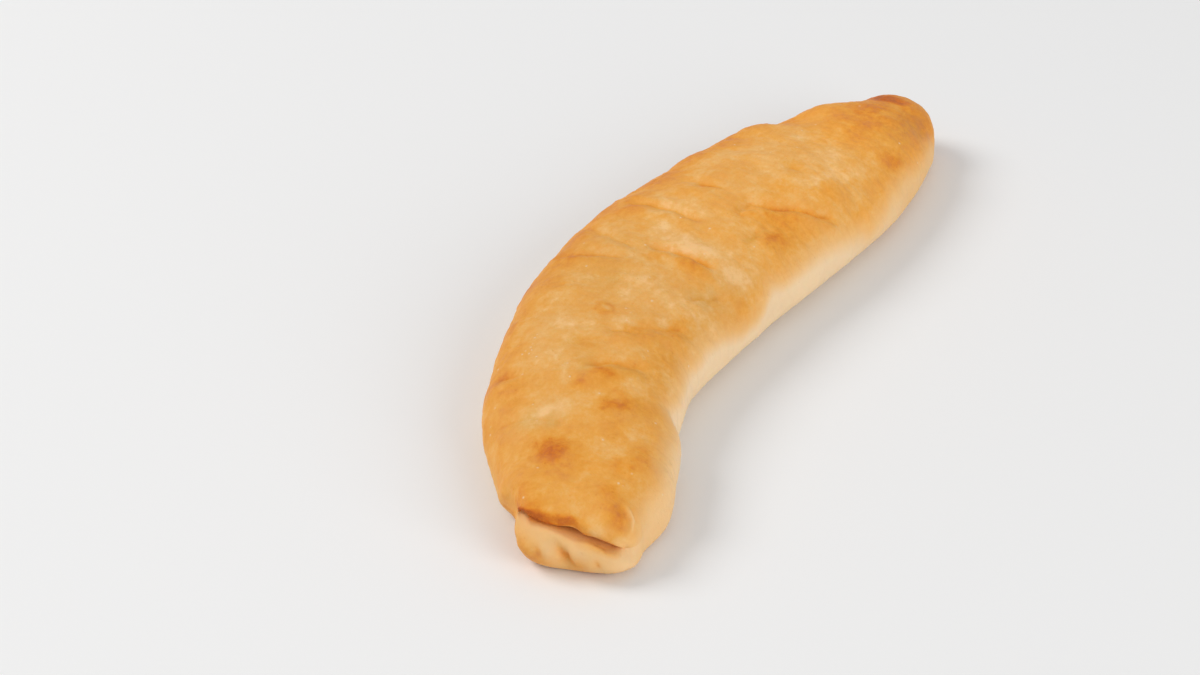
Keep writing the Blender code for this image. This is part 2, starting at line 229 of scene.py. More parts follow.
# %% Sizes of the mouth
MOUTH_TABLE = (
    # crown s, z, corners: s, half width, z, base s, z, shift left, skew of the corners, roll
    (30, 23, 30, 25.5, 8.3, 30, -1.2, 0, 0, 0),
    (20, 22.3, 20.5, 23.8, 8.6, 15, -1.2, 0.8, 0.8, 1),
    (11.5, 21, 12.3, 18.8, 9.2, 6, -0.6, 4.8, 2.6, 3),
    (6, 18.9, 8.8, 17.4, 10, 1.5, 1.2, 5.2, 4.6, 6),
    (2.8, 16.4, 7.8, 16, 10.6, -0.5, 6.2, 6.3, 6.2, 8),
    (3.4, 14, 8, 15, 10.9, 0.9, 9.3, 6.6, 6.8, 9),
    (8, 13, 10, 13.8, 11.1, 4.5, 10.5, 7.2, 5.6, 9),
    (14.5, 12.6, 14, 12.8, 11.4, 12, 11.1, 7, 4, 9),
)
LIP_ROW = 4
MOUTH_POWER = 0.9
LOWER_LIP_FULLNESS = 0.18
FULLNESS_WHOLE = 0.6
LIP_STEPS = (
    # across to the right, radius, rise
    (-14, 3.5, -0.7),
    (-5.5, 2.8, 1.9),
    (-4.2, 1.5, 0.6),
    (-1.6, 1.4, -0.5),
    (2.5, 3, 0.5),
)
LOWER_LIP_RISES = (
    # across to the right, radius, past the lip, reach, rise
    (-11, 6.5, -5, 5, 2.6),
    (-11, 6, -12, 5, 1.6),
    (1, 5, -4.5, 5, 2.6),
    (5, 4, -9, 3, -0.8),
)
LIP_STEPS_FROM_ROW = 2.0
LIP_STEPS_REACH = 4.5
CORNER_FORWARDS = 3.0
CORNER_UP = 2.4
OVERHANG = 0.4
TUCK = 1.2
TUCK_POWER = 0.7
NARROWING = 4.7
NARROWING_AT_LIP = 0.5
NARROWING_LIP_REACH = 8.0
NARROWING_FADE = (22.0, 36.0)
NARROWING_FROM_MIDDLE = 0.55
UNDERCUT_FADE = (32.0, 46.0)
UNDERCUT_DEPTH = 0.7
LOWER_BULGE_FADE = (14.0, 24.0)
RIGHT_CHEEK = 3.8
RIGHT_CHEEK_AT = 12.0
RIGHT_CHEEK_REACH = 12.0
RIGHT_CHEEK_AT_CORNER = 0.3
RIGHT_CHEEK_GROWS = (0.1, 0.8)
LEFT_ROUNDNESS = 0.35
RIGHT_ROUNDNESS = 1.0
print("rows in the table of the mouth:", len(MOUTH_TABLE))


# %% Rings of the mouth
def mouth_reach():
    """Distance from the body to each row of the mouth's table, over the skin, in mm."""
    table = np.array(MOUTH_TABLE)
    steps = np.linalg.norm(np.diff(table[:, (0, 1, 3, 5, 6)], axis=0), axis=1)
    return np.concatenate([[0], np.cumsum(steps)])


def narrowing(past_lip, above, c, lift):
    """How far the left side stands in behind the lips, where the roll is narrower."""
    rise = 1 - (1 - NARROWING_AT_LIP) * bell(past_lip, NARROWING_LIP_REACH)
    top = rise * (1 - smooth_step(*NARROWING_FADE, past_lip))
    low = rise * (1 - smooth_step(*UNDERCUT_FADE, past_lip))
    low = top + (low - top) * smooth_step(0, UNDERCUT_DEPTH, lift)
    low = low * (1 - lift * (1 - smooth_step(*LOWER_BULGE_FADE, past_lip)))
    low = low * smooth_step(0, NARROWING_FROM_MIDDLE, -c)
    return NARROWING * (c < 0) * np.where(above, top * c**4, low)


def right_cheek(past_lip, above, c, lift):
    """How far the right side bulges just behind the lips."""
    low = RIGHT_CHEEK_AT_CORNER + (1 - RIGHT_CHEEK_AT_CORNER) * smooth_step(*RIGHT_CHEEK_GROWS, lift)
    share = np.where(above, RIGHT_CHEEK_AT_CORNER * c**4, low) * np.maximum(c, 0)
    return RIGHT_CHEEK * bell(past_lip - RIGHT_CHEEK_AT, RIGHT_CHEEK_REACH) * share


def mouth_rings():
    """Rings from the bottom of the crevice out round the lips and back along the body, and how
    far each is from the lip, in mm, positive on the outer skin."""
    reach = mouth_reach()
    count = round(reach[-1] * MM / RING_SPACING)
    at = np.linspace(reach[-1], 0, count + 1)
    near_lip = bell(at - reach[LIP_ROW] - LIP_STEPS_FROM_ROW, LIP_STEPS_REACH)[:, None]
    roundness = smooth_step(0, reach[LIP_ROW], at)[:, None]
    rows = smooth_through(at, reach, MOUTH_TABLE)
    crown_s, crown_z, side_s, half, side_z, base_s, base_z, left, skew, roll = rows.T[..., None]
    above, c, up, out, lift = section()
    side_roundness = roundness * np.where(c < 0, LEFT_ROUNDNESS, RIGHT_ROUNDNESS)
    out = np.where(above, out, out + (c - out) * side_roundness)
    bulge = up**MOUTH_POWER + LOWER_LIP_FULLNESS * smooth_step(0, FULLNESS_WHOLE, up) * (1 - up**3) * ~above
    s = side_s + (np.where(above, crown_s, base_s) - side_s) * bulge - skew * c
    q = half * out
    z = (np.where(above, crown_z, base_z) - side_z) * lift
    turn = np.radians(roll)
    turned_q = q * np.cos(turn) + z * np.sin(turn) - left
    turned_z = z * np.cos(turn) - q * np.sin(turn) + side_z
    level = np.where(above, up, up**TUCK_POWER)
    beside = 4 * level * (1 - level) * (c < 0) * np.sqrt(roundness)
    turned_q = turned_q + beside * np.where(above, -OVERHANG, TUCK)
    past_lip = (reach[LIP_ROW] - at)[:, None]
    turned_q = turned_q + narrowing(past_lip, above, c, lift) + right_cheek(past_lip, above, c, lift)
    corner = np.minimum(c, 0) ** 2 * roundness
    s = s - CORNER_FORWARDS * corner
    turned_z = turned_z + CORNER_UP * corner * np.where(above, 1, 1 - up)
    for across, radius, rise in LIP_STEPS:
        turned_z = turned_z + rise * near_lip * bell(turned_q - across, radius) * up * above
    for across, radius, place, spread, rise in LOWER_LIP_RISES:
        bump = bell(turned_q - across, radius) * bell(past_lip - place, spread)
        turned_z = turned_z + rise * bump * up * ~above
    return np.stack([s, turned_q, np.maximum(turned_z, 0)], -1) * MM, reach[LIP_ROW] - at


mouth, from_lip = mouth_rings()
rings = np.concatenate([mouth, trunk, tip])
from_lip = np.concatenate([from_lip, np.full(len(trunk) + len(tip), from_lip[-1])])[:, None]
print("rings in the mouth:", len(mouth), "and points around each:", rings.shape[1])

# %% [markdown]
# ## Where each point of the skin is
#
# Everything that follows, from creases to browning, has a place on the skin: so far along the bread,
# and so far around it from the line along its top. The two distances, in millimetres, are worked out
# once for every point. They are also kept on the mesh, so that patterns can follow the crust.

# %% Along and around
def around(rings):
    """Distance around each ring from the crown line, positive to the right."""
    crown = CROWN_STEPS // 2
    turned = np.roll(rings, -crown, axis=1)
    sides = np.linalg.norm(np.roll(turned, -1, axis=1) - turned, axis=-1)
    gone = np.cumsum(sides, axis=1) - sides
    total = sides.sum(axis=1, keepdims=True)
    arc = np.where(gone < total / 2, -gone, total - gone)
    return np.roll(arc, crown, axis=1)


def spine(s):
    """Plan position and right-hand direction at distance s along the bent spine."""
    fine = np.linspace(-SPINE_MARGIN, LENGTH + SPINE_MARGIN, SPINE_STEPS)
    heading = np.full_like(fine, math.radians(START_HEADING))
    for at, spread, turn in BENDS:
        heading -= math.radians(turn) * 0.5 * (1 + np.tanh((fine - at) / spread))
    step = fine[1] - fine[0]
    x = np.cumsum(np.cos(heading)) * step
    y = np.cumsum(np.sin(heading)) * step
    angle = np.interp(s, fine, heading)
    place = np.stack([np.interp(s, fine, x), np.interp(s, fine, y)], -1)
    return place, np.stack([np.sin(angle), -np.cos(angle)], -1)


def to_plan(points):
    """Bend straight (s, q, z) points along the spine."""
    at, right = spine(points[..., 0])
    return np.concatenate([at + right * points[..., 1:2], points[..., 2:]], -1)


def skin_normals(points):
    """Outward normals of a grid of rings that closes around its second axis."""
    along = np.gradient(points, axis=0)
    about = np.roll(points, -1, axis=1) - np.roll(points, 1, axis=1)
    normal = np.cross(along, about)
    return normal / np.maximum(np.linalg.norm(normal, axis=-1, keepdims=True), 1e-12)


S = rings[..., 0] / MM
Q = rings[..., 1] / MM
Z = rings[..., 2] / MM
A = around(rings) / MM
on_crown = np.arange(rings.shape[1]) <= CROWN_STEPS
print("along, mm:", round(S.min(), 1), "to", round(S.max(), 1))
print("around, mm:", round(A.min(), 1), "to", round(A.max(), 1))

# %% [markdown]
# ## Lumps, creases and blisters
#
# A filled roll isn't smooth. Broad lumps show where the filling lies. Where the roll bends, its top
# skin buckles into creases: a thin dark line with a puffed ridge on its near side. Gas under the
# skin raises blisters. Each has a place read from the bread itself, so it is listed, while
# the lumps come from seeded noise. A groove here is narrower and deeper than in the imported model,
# and its line wanders a little, as real creases do.

# %% Random fields
LUMP_GRID = 64
LUMP_GRID_START = 20
LUMPS = (
    # height, cell along the spine, cell around the loaf, seed
    (0.8, 24, 20, 5),
    (0.5, 9, 15, 11),
)


def random_lumps(s, a, cell_s, cell_a, seed):
    """Smooth heights from -1 to 1 that change from one cell of the crust to the next."""
    grid = np.random.default_rng(seed).uniform(-1, 1, (LUMP_GRID, LUMP_GRID))
    u, v = s / cell_s + LUMP_GRID_START, a / cell_a + LUMP_GRID_START
    i, j = np.floor(u).astype(int), np.floor(v).astype(int)
    fu, fv = smooth_step(0, 1, u - i), smooth_step(0, 1, v - j)
    i0, j0, i1, j1 = (k % LUMP_GRID for k in (i, j, i + 1, j + 1))
    near = grid[i0, j0] * (1 - fv) + grid[i0, j1] * fv
    far = grid[i1, j0] * (1 - fv) + grid[i1, j1] * fv
    return near * (1 - fu) + far * fu


def layered_lumps(s, a, layers):
    """Lumps of several sizes together. Each layer has a height, its two cells and its seed."""
    return sum(size * random_lumps(s, a, *layer) for size, *layer in layers)


height = layered_lumps(S, A, LUMPS)
print("lumps, mm:", round(height.min(), 2), "to", round(height.max(), 2))

# %% Creases
CREASES = (
    # points along the line (along, around), depth, width, how far the dough on the near side puffs
    (
        ((160, 15), (164, 10.5), (171, 9.5), (175, 16.5), (180, 21.5), (184, 27.5), (190, 32.5)),
        1.2, 2.4, 0.8,
    ),
    (((150, -24), (150.5, -12), (151, -2), (150.5, 7)), 0.9, 2.2, 0.5),
    (((170, -18), (170.5, -9), (170.5, -1)), 0.7, 2.4, 0.6),
    (((130, -4), (130.8, 5), (131.2, 13), (130.5, 23)), 1.2, 2.2, 0.9),
    (((118, -31), (117.5, -20), (118.5, -10), (120, -4)), 1, 2.2, 0.7),
    (((138, -34), (132, -24), (127.5, -14), (127.5, -3)), 0.7, 2, 0.3),
    (((81, 2), (85, 10), (91, 18), (98, 27)), 1, 3, 0.9),
    (((75.5, -6), (76.3, 1), (76.5, 11)), 0.35, 2.6, 0.4),
    (((64, -1), (65.5, 6), (66.5, 12), (66, 20)), 0.9, 2.2, 0.8),
    (((66.5, -32), (65.5, -25), (63.5, -18)), 1, 2.2, 0.7),
    (((47, -29), (44.5, -18), (41, -6)), 0.6, 2.6, 0.5),
    (((110, 19), (117, 26.5), (125, 31)), 0.7, 2.2, 0.4),
    (((195, 3), (197, 8), (198, 13)), 0.7, 2.4, 0.5),
    (((149, 20.5), (155, 22), (161, 20)), 0.5, 1.8, 0.4),
)
CREASE_TAPER = 5.0
RIDGE_OFFSET = 2.0
RIDGE_WIDTH = 1.4
# The line at the bottom of the groove: how far it wanders, how wide it is, and its extra depth.
LINE_WANDER = 0.7
LINE_WIDTH = 0.75
LINE_DEPTH = 0.2


def beside_line(s, a, points):
    """Distance from a line of points, positive on its far side, and a fade towards its ends."""
    points = np.array(points, float)
    best, signed, gone, total = np.full_like(s, np.inf), np.zeros_like(s), np.zeros_like(s), 0.0
    for (s0, a0), (s1, a1) in zip(points[:-1], points[1:]):
        length = math.hypot(s1 - s0, a1 - a0)
        ds, da = (s1 - s0) / length, (a1 - a0) / length
        along = np.clip((s - s0) * ds + (a - a0) * da, 0, length)
        off_s, off_a = s - s0 - along * ds, a - a0 - along * da
        far = np.hypot(off_s, off_a)
        side = np.where(off_s * da - off_a * ds < 0, -1, 1)
        nearer = far < best
        signed = np.where(nearer, far * side, signed)
        gone = np.where(nearer, along + total, gone)
        best = np.where(nearer, far, best)
        total += length
    taper = min(CREASE_TAPER, total / 2)
    return signed, smooth_step(0, taper, gone) * smooth_step(0, taper, total - gone)


crease_line = np.zeros_like(S)
crease_ridge = np.zeros_like(S)
wander = random_lumps(S, A, 4.0, 4.0, seed=101)
for points, depth, width, puff in CREASES:
    beside, ends = beside_line(S, A, points)
    beside = beside + LINE_WANDER * wander
    groove = ends * bell(beside, width)
    ridge = ends * bell(beside + RIDGE_OFFSET * width, RIDGE_WIDTH * width)
    line = ends * bell(beside, LINE_WIDTH)
    height += puff * ridge - depth * groove - depth * LINE_DEPTH * line
    crease_line = np.maximum(crease_line, line * depth)
    crease_ridge = np.maximum(crease_ridge, ridge * puff)
print("creases:", len(CREASES))

# %% Fine lines in the crust
FINE_LINES = (
    # points, depth, width, how dark
    (((80, 9.5), (84, 10.5), (88, 11)), 0.18, 0.5, 0.5),
    (((79.5, 11), (84, 12), (88.5, 12.3)), 0.18, 0.5, 0.6),
    (((80, 12.6), (84, 13.4), (88, 13.6)), 0.18, 0.5, 0.6),
    (((81, 14.4), (85, 15), (88, 15)), 0.15, 0.5, 0.4),
    (((23, -13), (27.5, -12.6), (31.5, -12), (33.5, -9.5), (34, -6)), 0.2, 0.6, 0.5),
    (((30.5, -11), (32.3, -8.5), (31.8, -4.5)), 0.2, 0.6, 0.4),
    (((21, -15), (28, -17.5)), -0.2, 0.6, -0.5),
    (((20, -13.5), (26, -16)), -0.15, 0.5, -0.4),
    (((38, -9), (41, -7), (43, -8)), 0.25, 0.6, 0.5),
    (((45.5, -18), (46.5, -15), (46, -12)), 0.25, 0.7, 0.6),
    (((63.5, -2), (66, 6), (67.5, 14)), 0.2, 0.6, 0.6),
    (((98.5, -17), (102, -15.5)), 0.2, 0.6, 0.6),
    (((104, -8), (107, -9), (110, -6)), 0.2, 0.6, 0.4),
    (((103, -2), (105.5, -3), (108, -1), (109, 2)), 0.2, 0.6, 0.4),
    (((117.8, -24), (118.3, -14), (119.8, -7)), 0.2, 0.6, 0.4),
    (((110.5, 21), (115, 23.5), (119, 27), (124, 29)), 0.25, 0.7, 0.6),
    (((113, 25), (118, 29), (122, 31)), 0.2, 0.6, 0.4),
    (((130.6, -1), (131.2, 6), (131.4, 14), (130.8, 21)), 0.25, 0.8, 0.7),
    (((122, 8), (126, 9), (131, 8)), 0.15, 0.7, -0.3),
    (((150.5, -20), (151, -8), (151, 1)), 0.2, 0.7, 0.6),
    (((152, 20.8), (156, 22), (160, 21)), 0.2, 0.7, 0.7),
    (((155, 24), (159, 25.5), (165, 27.5)), 0.2, 0.6, 0.4),
    (((169.6, -12), (170.6, -6), (170.4, 1)), 0.2, 0.7, 0.6),
    (((173.5, 13), (176, 17.5), (181, 22), (184.5, 27.5), (189, 31.5)), 0.3, 0.7, 0.8),
    (((174.5, 29), (176, 31.5), (176, 35)), 0.2, 0.7, 0.6),
    (((182, 28), (186, 32), (190, 34)), 0.2, 0.6, 0.4),
    (((196, 4), (197.5, 7), (197, 11)), 0.2, 0.7, 0.4),
    (((243, -3), (245, -0.5), (247, 0)), 0.2, 0.7, 0.4),
)
FINE_LINE_WANDER = 0.42
fine_tone = np.zeros_like(S)
for points, depth, width, tone in FINE_LINES:
    beside, ends = beside_line(S, A, points)
    line = ends * bell(beside + FINE_LINE_WANDER * wander, width)
    height -= depth * line
    fine_tone += tone * line
print("fine lines:", len(FINE_LINES))

# %% Blisters and dents
BLISTERS = (
    # centre, radius along, radius around, height
    ((28, -8), 5.5, 6, 1.1),
    ((128, 16), 4, 6, 0.6),
    ((93, -1), 2.2, 3, 0.7),
    ((59, 2), 4, 6, 0.8),
    ((160, 28), 6, 7, 0.9),
    ((196, 24), 7, 7, 0.9),
    ((5, 10), 5, 3, 1),
    ((42, -10), 4, 7, -0.7),
    ((218, 4), 8, 9, -0.7),
    ((215, -25), 11, 10, 1.6),
    ((231, -18), 8, 12, -2.4),
    ((244, -14), 9, 9, 0.9),
    ((57, -36), 13, 10, 1.2),
    ((57, 35), 8, 10, -2),
    ((43, 38), 7, 9, 0.6),
)
LOWER_LIP_LUMPS = (
    # across to the right, up, radius, height
    (-16, 9, 4.5, 0.9),
    (-12, 8.5, 3.2, 0.9),
    (-7, 5, 2.4, -1),
    (-2, 9, 3.6, 0.9),
    (5, 6, 3.5, 0.6),
)


def patch(s, a, centre, radius_s, radius_a):
    """A soft round spot, 1 at its centre."""
    return bell(s - centre[0], radius_s) * bell(a - centre[1], radius_a)


for centre, radius_s, radius_a, size in BLISTERS:
    height += size * patch(S, A, centre, radius_s, radius_a)

# The relief fades towards the base, and inside the crevice.
RELIEF_FROM = 2.0
RELIEF_FULL = 9.0
RELIEF_LIP = 4.8
relief_share = smooth_step(RELIEF_FROM, RELIEF_FULL, Z) * smooth_step(-RELIEF_LIP, RELIEF_LIP, from_lip)
height *= relief_share
print("relief, mm:", round(height.min(), 2), "to", round(height.max(), 2))

# %% [markdown]
# ## The lips
#
# The lower lip is the lower half of the rings of the mouth. Its dough was pinched by a thumb, so it
# has two bulges with a groove between them. The edge of the top crust was torn when it was folded
# over, so it is ragged, and a thin ridge curves round its right end, where the dough was pressed on.

# %% Relief of the lips
is_mouth = np.arange(len(rings))[:, None] < len(mouth)
front = is_mouth & ~on_crown & (Z > 0)


def on_lower_lip(across, up, radius):
    """A soft round spot on the lower lip."""
    return patch(Q, Z, (across, up), radius, radius) * front


for across, up, radius, size in LOWER_LIP_LUMPS:
    height += size * on_lower_lip(across, up, radius)

LIP_GROOVES = (
    # points (across, up), depth, width
    (((-11, 13), (-9.4, 10), (-7.4, 7.2), (-6.5, 3)), 1.4, 1.5),
    (((-15, 11), (-14, 8), (-14.5, 5)), 0.3, 0.9),
    (((1, 9), (2, 6.5), (1.5, 4)), 0.35, 0.9),
)
LIP_GROOVE_WANDER = 0.5
lip_groove_line = np.zeros_like(S)
groove_wander = LIP_GROOVE_WANDER * random_lumps(Q, Z, 3, 3, seed=61)
for points, depth, width in LIP_GROOVES:
    beside, ends = beside_line(Q, Z, points)
    line = ends * bell(beside + groove_wander, width) * front
    height -= depth * line
    lip_groove_line = np.maximum(lip_groove_line, line)

LIP_EDGE_INSIDE = 0.6
LIP_EDGE_DEPTH = 2.2
LIP_RAG = 0.42
LIP_RAG_LAYERS = ((1, 2.4, 40, 62), (1, 5.5, 40, 63))
LOWER_LIP_ROUGH = 0.28
LOWER_LIP_ROUGH_LAYERS = ((1, 2.6, 2.2, 64), (0.6, 1.3, 1.2, 65))
ROUGH_FROM, ROUGH_TO = (-14, -8), (2, 9)
lip_edge = bell(from_lip + LIP_EDGE_INSIDE, LIP_EDGE_DEPTH) * on_crown
rag = layered_lumps(Q, Z, LIP_RAG_LAYERS)
height += LIP_RAG * rag * lip_edge
rough_place = smooth_step(*ROUGH_FROM, from_lip) * (1 - smooth_step(*ROUGH_TO, from_lip))
rough = layered_lumps(Q, Z, LOWER_LIP_ROUGH_LAYERS) * (rough_place * front)
height += LOWER_LIP_ROUGH * rough

EDGE_RIDGE = ((10, 13.5), (7.7, 15.5), (5.8, 17), (3.2, 17), (1.4, 16))
EDGE_RIDGE_HEIGHT, EDGE_RIDGE_WIDTH = 0.8, 0.6
EDGE_TROUGH_DEPTH, EDGE_TROUGH_WIDTH, EDGE_TROUGH_OFFSET = 0.4, 0.9, 1.4
beside, ends = beside_line(S, A, EDGE_RIDGE)
edge_ridge = ends * bell(beside, EDGE_RIDGE_WIDTH) * on_crown
edge_trough = ends * bell(beside + EDGE_TROUGH_OFFSET, EDGE_TROUGH_WIDTH) * on_crown
height += EDGE_RIDGE_HEIGHT * edge_ridge - EDGE_TROUGH_DEPTH * edge_trough
print("relief with the lips, mm:", round(height.min(), 2), "to", round(height.max(), 2))

# %% [markdown]
# ## Browning
#
# The oven browns what stands highest and what is thinnest: the puffed ridges beside the creases, the
# blisters, the lip and the far tip. The flanks, which rise late and face away from the heat, stay
# pale. Painting an image would do it, but a picture can't be used here. Each browned spot is a soft
# patch with a place, a size and a strength, and the sum is kept on the mesh as one number, the
# toast, that the shader turns into colour.

# %% Where the crust is browner, paler or greyer
TOAST_SPOTS = (
    # centre (along, around), radius along, radius around, strength
    # The folded end
    ((28.3, -8.5), 5.2, 5, 0.34),
    ((30.5, -12.5), 3.6, 3.2, 0.1),
    ((30, -8), 8.5, 9.5, 0.13),
    ((20, -12), 11, 8, 0.07),
    ((12.5, -17), 4.6, 4.6, 0.32),
    ((7.5, -14), 3.5, 4.5, 0.24),
    ((22, 1), 5, 4, 0.08),
    ((12.5, 10.5), 4.5, 3.5, 0.2),
    ((22.5, 11), 3.5, 3.2, 0.22),
    ((27, 16), 4, 3.5, 0.16),
    ((37, 9), 5, 3.5, 0.1),
    ((47.5, 10.5), 3.4, 6, 0.42),
    ((55, 7.5), 2.8, 3.4, 0.12),
    ((50, 19), 4, 4, 0.12),
    ((56, -21), 9, 8, 0.1),
    ((65.3, -26), 1.8, 4.5, 0.16),
    # Past the first bend
    ((55.5, 0), 3, 2.6, 0.26),
    ((59.5, 6), 2.4, 3.6, 0.38),
    ((65, 14), 5.5, 8, 0.1),
    ((74.5, 0.5), 2, 2.4, 0.14),
    ((74, 23), 7, 4, 0.18),
    ((84, 14), 5.5, 5.5, 0.13),
    ((94, 24), 7, 3.6, 0.2),
    ((85, -26), 5, 4, 0.1),
    ((103, -31), 4.5, 3, 0.26),
    ((114.5, -19), 3.6, 11, 0.15),
    ((101, -20), 4, 5, 0.08),
    # The middle
    ((127, 14.5), 4.4, 5.2, 0.26),
    ((125, 4), 4.4, 4, 0.12),
    ((127, 36), 6, 3.6, 0.14),
    ((73.5, -20.6), 3, 4, 0.08),
    ((144.5, -16), 5, 5, 0.12),
    ((138, -8), 3, 2.4, 0.1),
    ((164, -14), 5, 6, 0.12),
    ((169.5, -5), 1.8, 3, 0.2),
    # The fold in the far half
    ((167, 15), 6.5, 5.5, 0.14),
    ((161, 26.5), 6.5, 4, 0.23),
    ((171, 23), 8, 7, 0.18),
    ((185, 12), 5, 3.4, 0.1),
    ((195, 23), 6, 4, 0.18),
    ((201, 35), 5, 2.8, 0.12),
    ((197, 8), 2.4, 3.4, 0.08),
    # The far end
    ((234, 4), 8, 10, 0.12),
    ((233, 23), 6, 4, 0.2),
    ((245, -1), 2, 2, 0.12),
    ((253, 4), 13, 15, 0.22),
    ((262, 14), 5, 8, 0.1),
)
PALE_SPOTS = (
    ((3, 7.5), 4, 3, 0.12),
    ((43, -16), 5.5, 9, 0.16),
    ((46, -8), 3.6, 5, 0.24),
    ((52, -12), 4, 4, 0.07),
    ((53, -28), 2.4, 2.2, 0.14),
    ((60.5, -6), 3.6, 1.4, 0.22),
    ((69, -12), 5, 8, 0.1),
    ((76, -15), 3, 3, 0.05),
    ((82, -14), 6, 6, 0.08),
    ((72, 11), 4, 5, 0.08),
    ((87.5, 7.5), 3, 2.6, 0.16),
    ((95.5, 19.5), 3, 1.8, 0.14),
    ((104, 12), 9, 9, 0.08),
    ((114, 6), 1.2, 1.2, 0.12),
    ((131, -21), 4, 5, 0.1),
    ((115, 25), 6, 4, 0.1),
    ((136, 10), 4.5, 9, 0.22),
    ((133.5, 26.5), 5, 4.5, 0.16),
    ((141.8, -2.5), 1.8, 1.8, 0.2),
    ((155, 3), 2.6, 2.4, 0.14),
    ((156, -9), 4.5, 8, 0.12),
    ((174, 2), 4, 8, 0.08),
    ((183, 19), 3, 3, 0.1),
    ((197, 17.5), 1.5, 1.2, 0.18),
    ((217, -6), 3.6, 3.4, 0.18),
    ((213, 11), 7, 6, 0.16),
    ((216, 22.5), 4, 1.8, 0.14),
)
# Greyer, greener places on the crust.
OLIVE_SPOTS = (
    ((42, -8), 2.6, 2.4, 0.9),
    ((43.5, -16), 4, 4, 0.7),
    ((48, 17), 4, 5, 0.4),
    ((64, 0), 5, 2.4, 0.6),
    ((64, 14), 2.6, 6, 0.6),
    ((73, -3), 4, 4, 0.4),
    ((106.5, -4), 5, 5, 0.5),
    ((113, -10), 5, 7, 0.3),
    ((117, 25), 7, 4, 0.7),
    ((128, -12), 2, 7, 0.4),
    ((155, 21.5), 5, 1.6, 0.8),
    ((150.5, -8), 1.6, 12, 0.5),
    ((197, 7), 3, 4, 0.4),
    ((245, 15), 10, 5, 0.5),
    ((258, 12), 8, 10, 0.5),
)
print("spots:", len(TOAST_SPOTS), "brown,", len(PALE_SPOTS), "pale and", len(OLIVE_SPOTS), "grey")

# %% Paint the spots
# Patches have ragged edges: their coordinates are shaken by noise of two sizes.
RAGGED_BROAD = 1.7
RAGGED_FINE = 0.8


def ragged(seed):
    return layered_lumps(S, A, ((RAGGED_BROAD, 5, 5, seed), (RAGGED_FINE, 1.8, 1.8, seed + 1)))


ragged_s = S + ragged(seed=41)
ragged_a = A + ragged(seed=43)


def painted_spots(spots):
    total = np.zeros_like(S)
    for centre, radius_s, radius_a, strength in spots:
        total += strength * patch(ragged_s, ragged_a, centre, radius_s, radius_a)
    return total


RIDGE_TOAST = 0.05
LINE_TOAST = 0.10
FINE_LINE_TOAST = 0.20
toast = painted_spots(TOAST_SPOTS) - painted_spots(PALE_SPOTS)
toast += RIDGE_TOAST * crease_ridge + LINE_TOAST * crease_line + FINE_LINE_TOAST * fine_tone
olive = np.minimum(painted_spots(OLIVE_SPOTS), 1)

print("toast of the spots:", round(toast.min(), 2), "to", round(toast.max(), 2))

# %% A ring, a rim, flecks and painted glints, sides and painted light
# The blister on the crown line is a brown ring with a paler middle, which is a painted highlight.
RING_PLACE = 93
RING_RADIUS, RING_WIDTH, RING_TOAST = 2.6, 1.1, 0.20
MIDDLE_RADIUS, MIDDLE_HIGHLIGHT = 1.3, 0.10
ring = np.hypot(ragged_s - RING_PLACE, ragged_a)
toast += RING_TOAST * bell(ring - RING_RADIUS, RING_WIDTH) - MIDDLE_HIGHLIGHT * bell(ring, MIDDLE_RADIUS)

# A brown edge runs over the far tip. It starts sharply and fades towards the end of the roll.
TIP_RIM = ((252, -27), (256.5, -21), (260.5, -13), (263, -5), (264.3, 2), (264, 6.5))
TIP_RIM_BEFORE, TIP_RIM_AFTER = 1.7, 6.0
TIP_RIM_TOAST = 0.38
beside, ends = beside_line(ragged_s, ragged_a, TIP_RIM)
toast += TIP_RIM_TOAST * bell(beside, np.where(beside > 0, TIP_RIM_AFTER, TIP_RIM_BEFORE)) * ends

# Whitish flecks, partly flakes of dried dough and partly painted glints, lie thick in a few places.
FLECK_AND_GLINT_SPOTS = (
    ((53, -28), 2.6, 2.6, 1),
    ((60, -6), 3.6, 1.2, 1),
    ((44, -13), 2.6, 3.4, 0.8),
    ((75, -16), 3, 4.4, 1),
    ((88, 7), 3, 2.2, 0.5),
    ((56, -1), 3, 2, 0.4),
    ((114, 6), 1.5, 1.5, 0.8),
    ((142, -2.5), 2, 2, 0.6),
    ((216, -6), 4, 4, 0.4),
    ((22, -15), 6, 3, 0.4),
    ((15, 13), 5, 3, 0.4),
)
FLECKS_EVERYWHERE = 0.015
FLECKS_ABOVE = 6
flecks_and_glints = np.minimum(painted_spots(FLECK_AND_GLINT_SPOTS) + FLECKS_EVERYWHERE, 1) * (Z > FLECKS_ABOVE)

# The left flank is a deeper gold: partly the colour of its crust, partly painted shade. On top, the roll
# is paler past its first bend, and browner at its far end.
LEFT_SIDE = (-12, -28)
LEFT_GOLD_AND_SHADE, LEFT_GOLD_AND_SHADE_FROM = 0.10, (10, 40)
FAR_LEFT_GOLD_AND_SHADE, FAR_LEFT_GOLD_AND_SHADE_FROM = 0.13, (90, 150)
TOP_PALER = (
    (0, 0), (35, 0), (55, 0.03), (75, 0.05), (130, 0.08), (160, 0.01), (200, 0.04),
    (240, -0.09), (272, -0.12),
)
# Painted light: a brightness along the roll scales the colour, lightest towards the far end, where more
# light falls.
PAINTED_LIGHT_ALONG = ((0, 1.04), (45, 1.02), (120, 1), (150, 1.07), (200, 1.09), (240, 1.12), (272, 1.06))


def by_place(knots):
    """A value that changes along the roll, from pairs of a place and its value."""
    return np.interp(S, *np.array(knots, float).T)


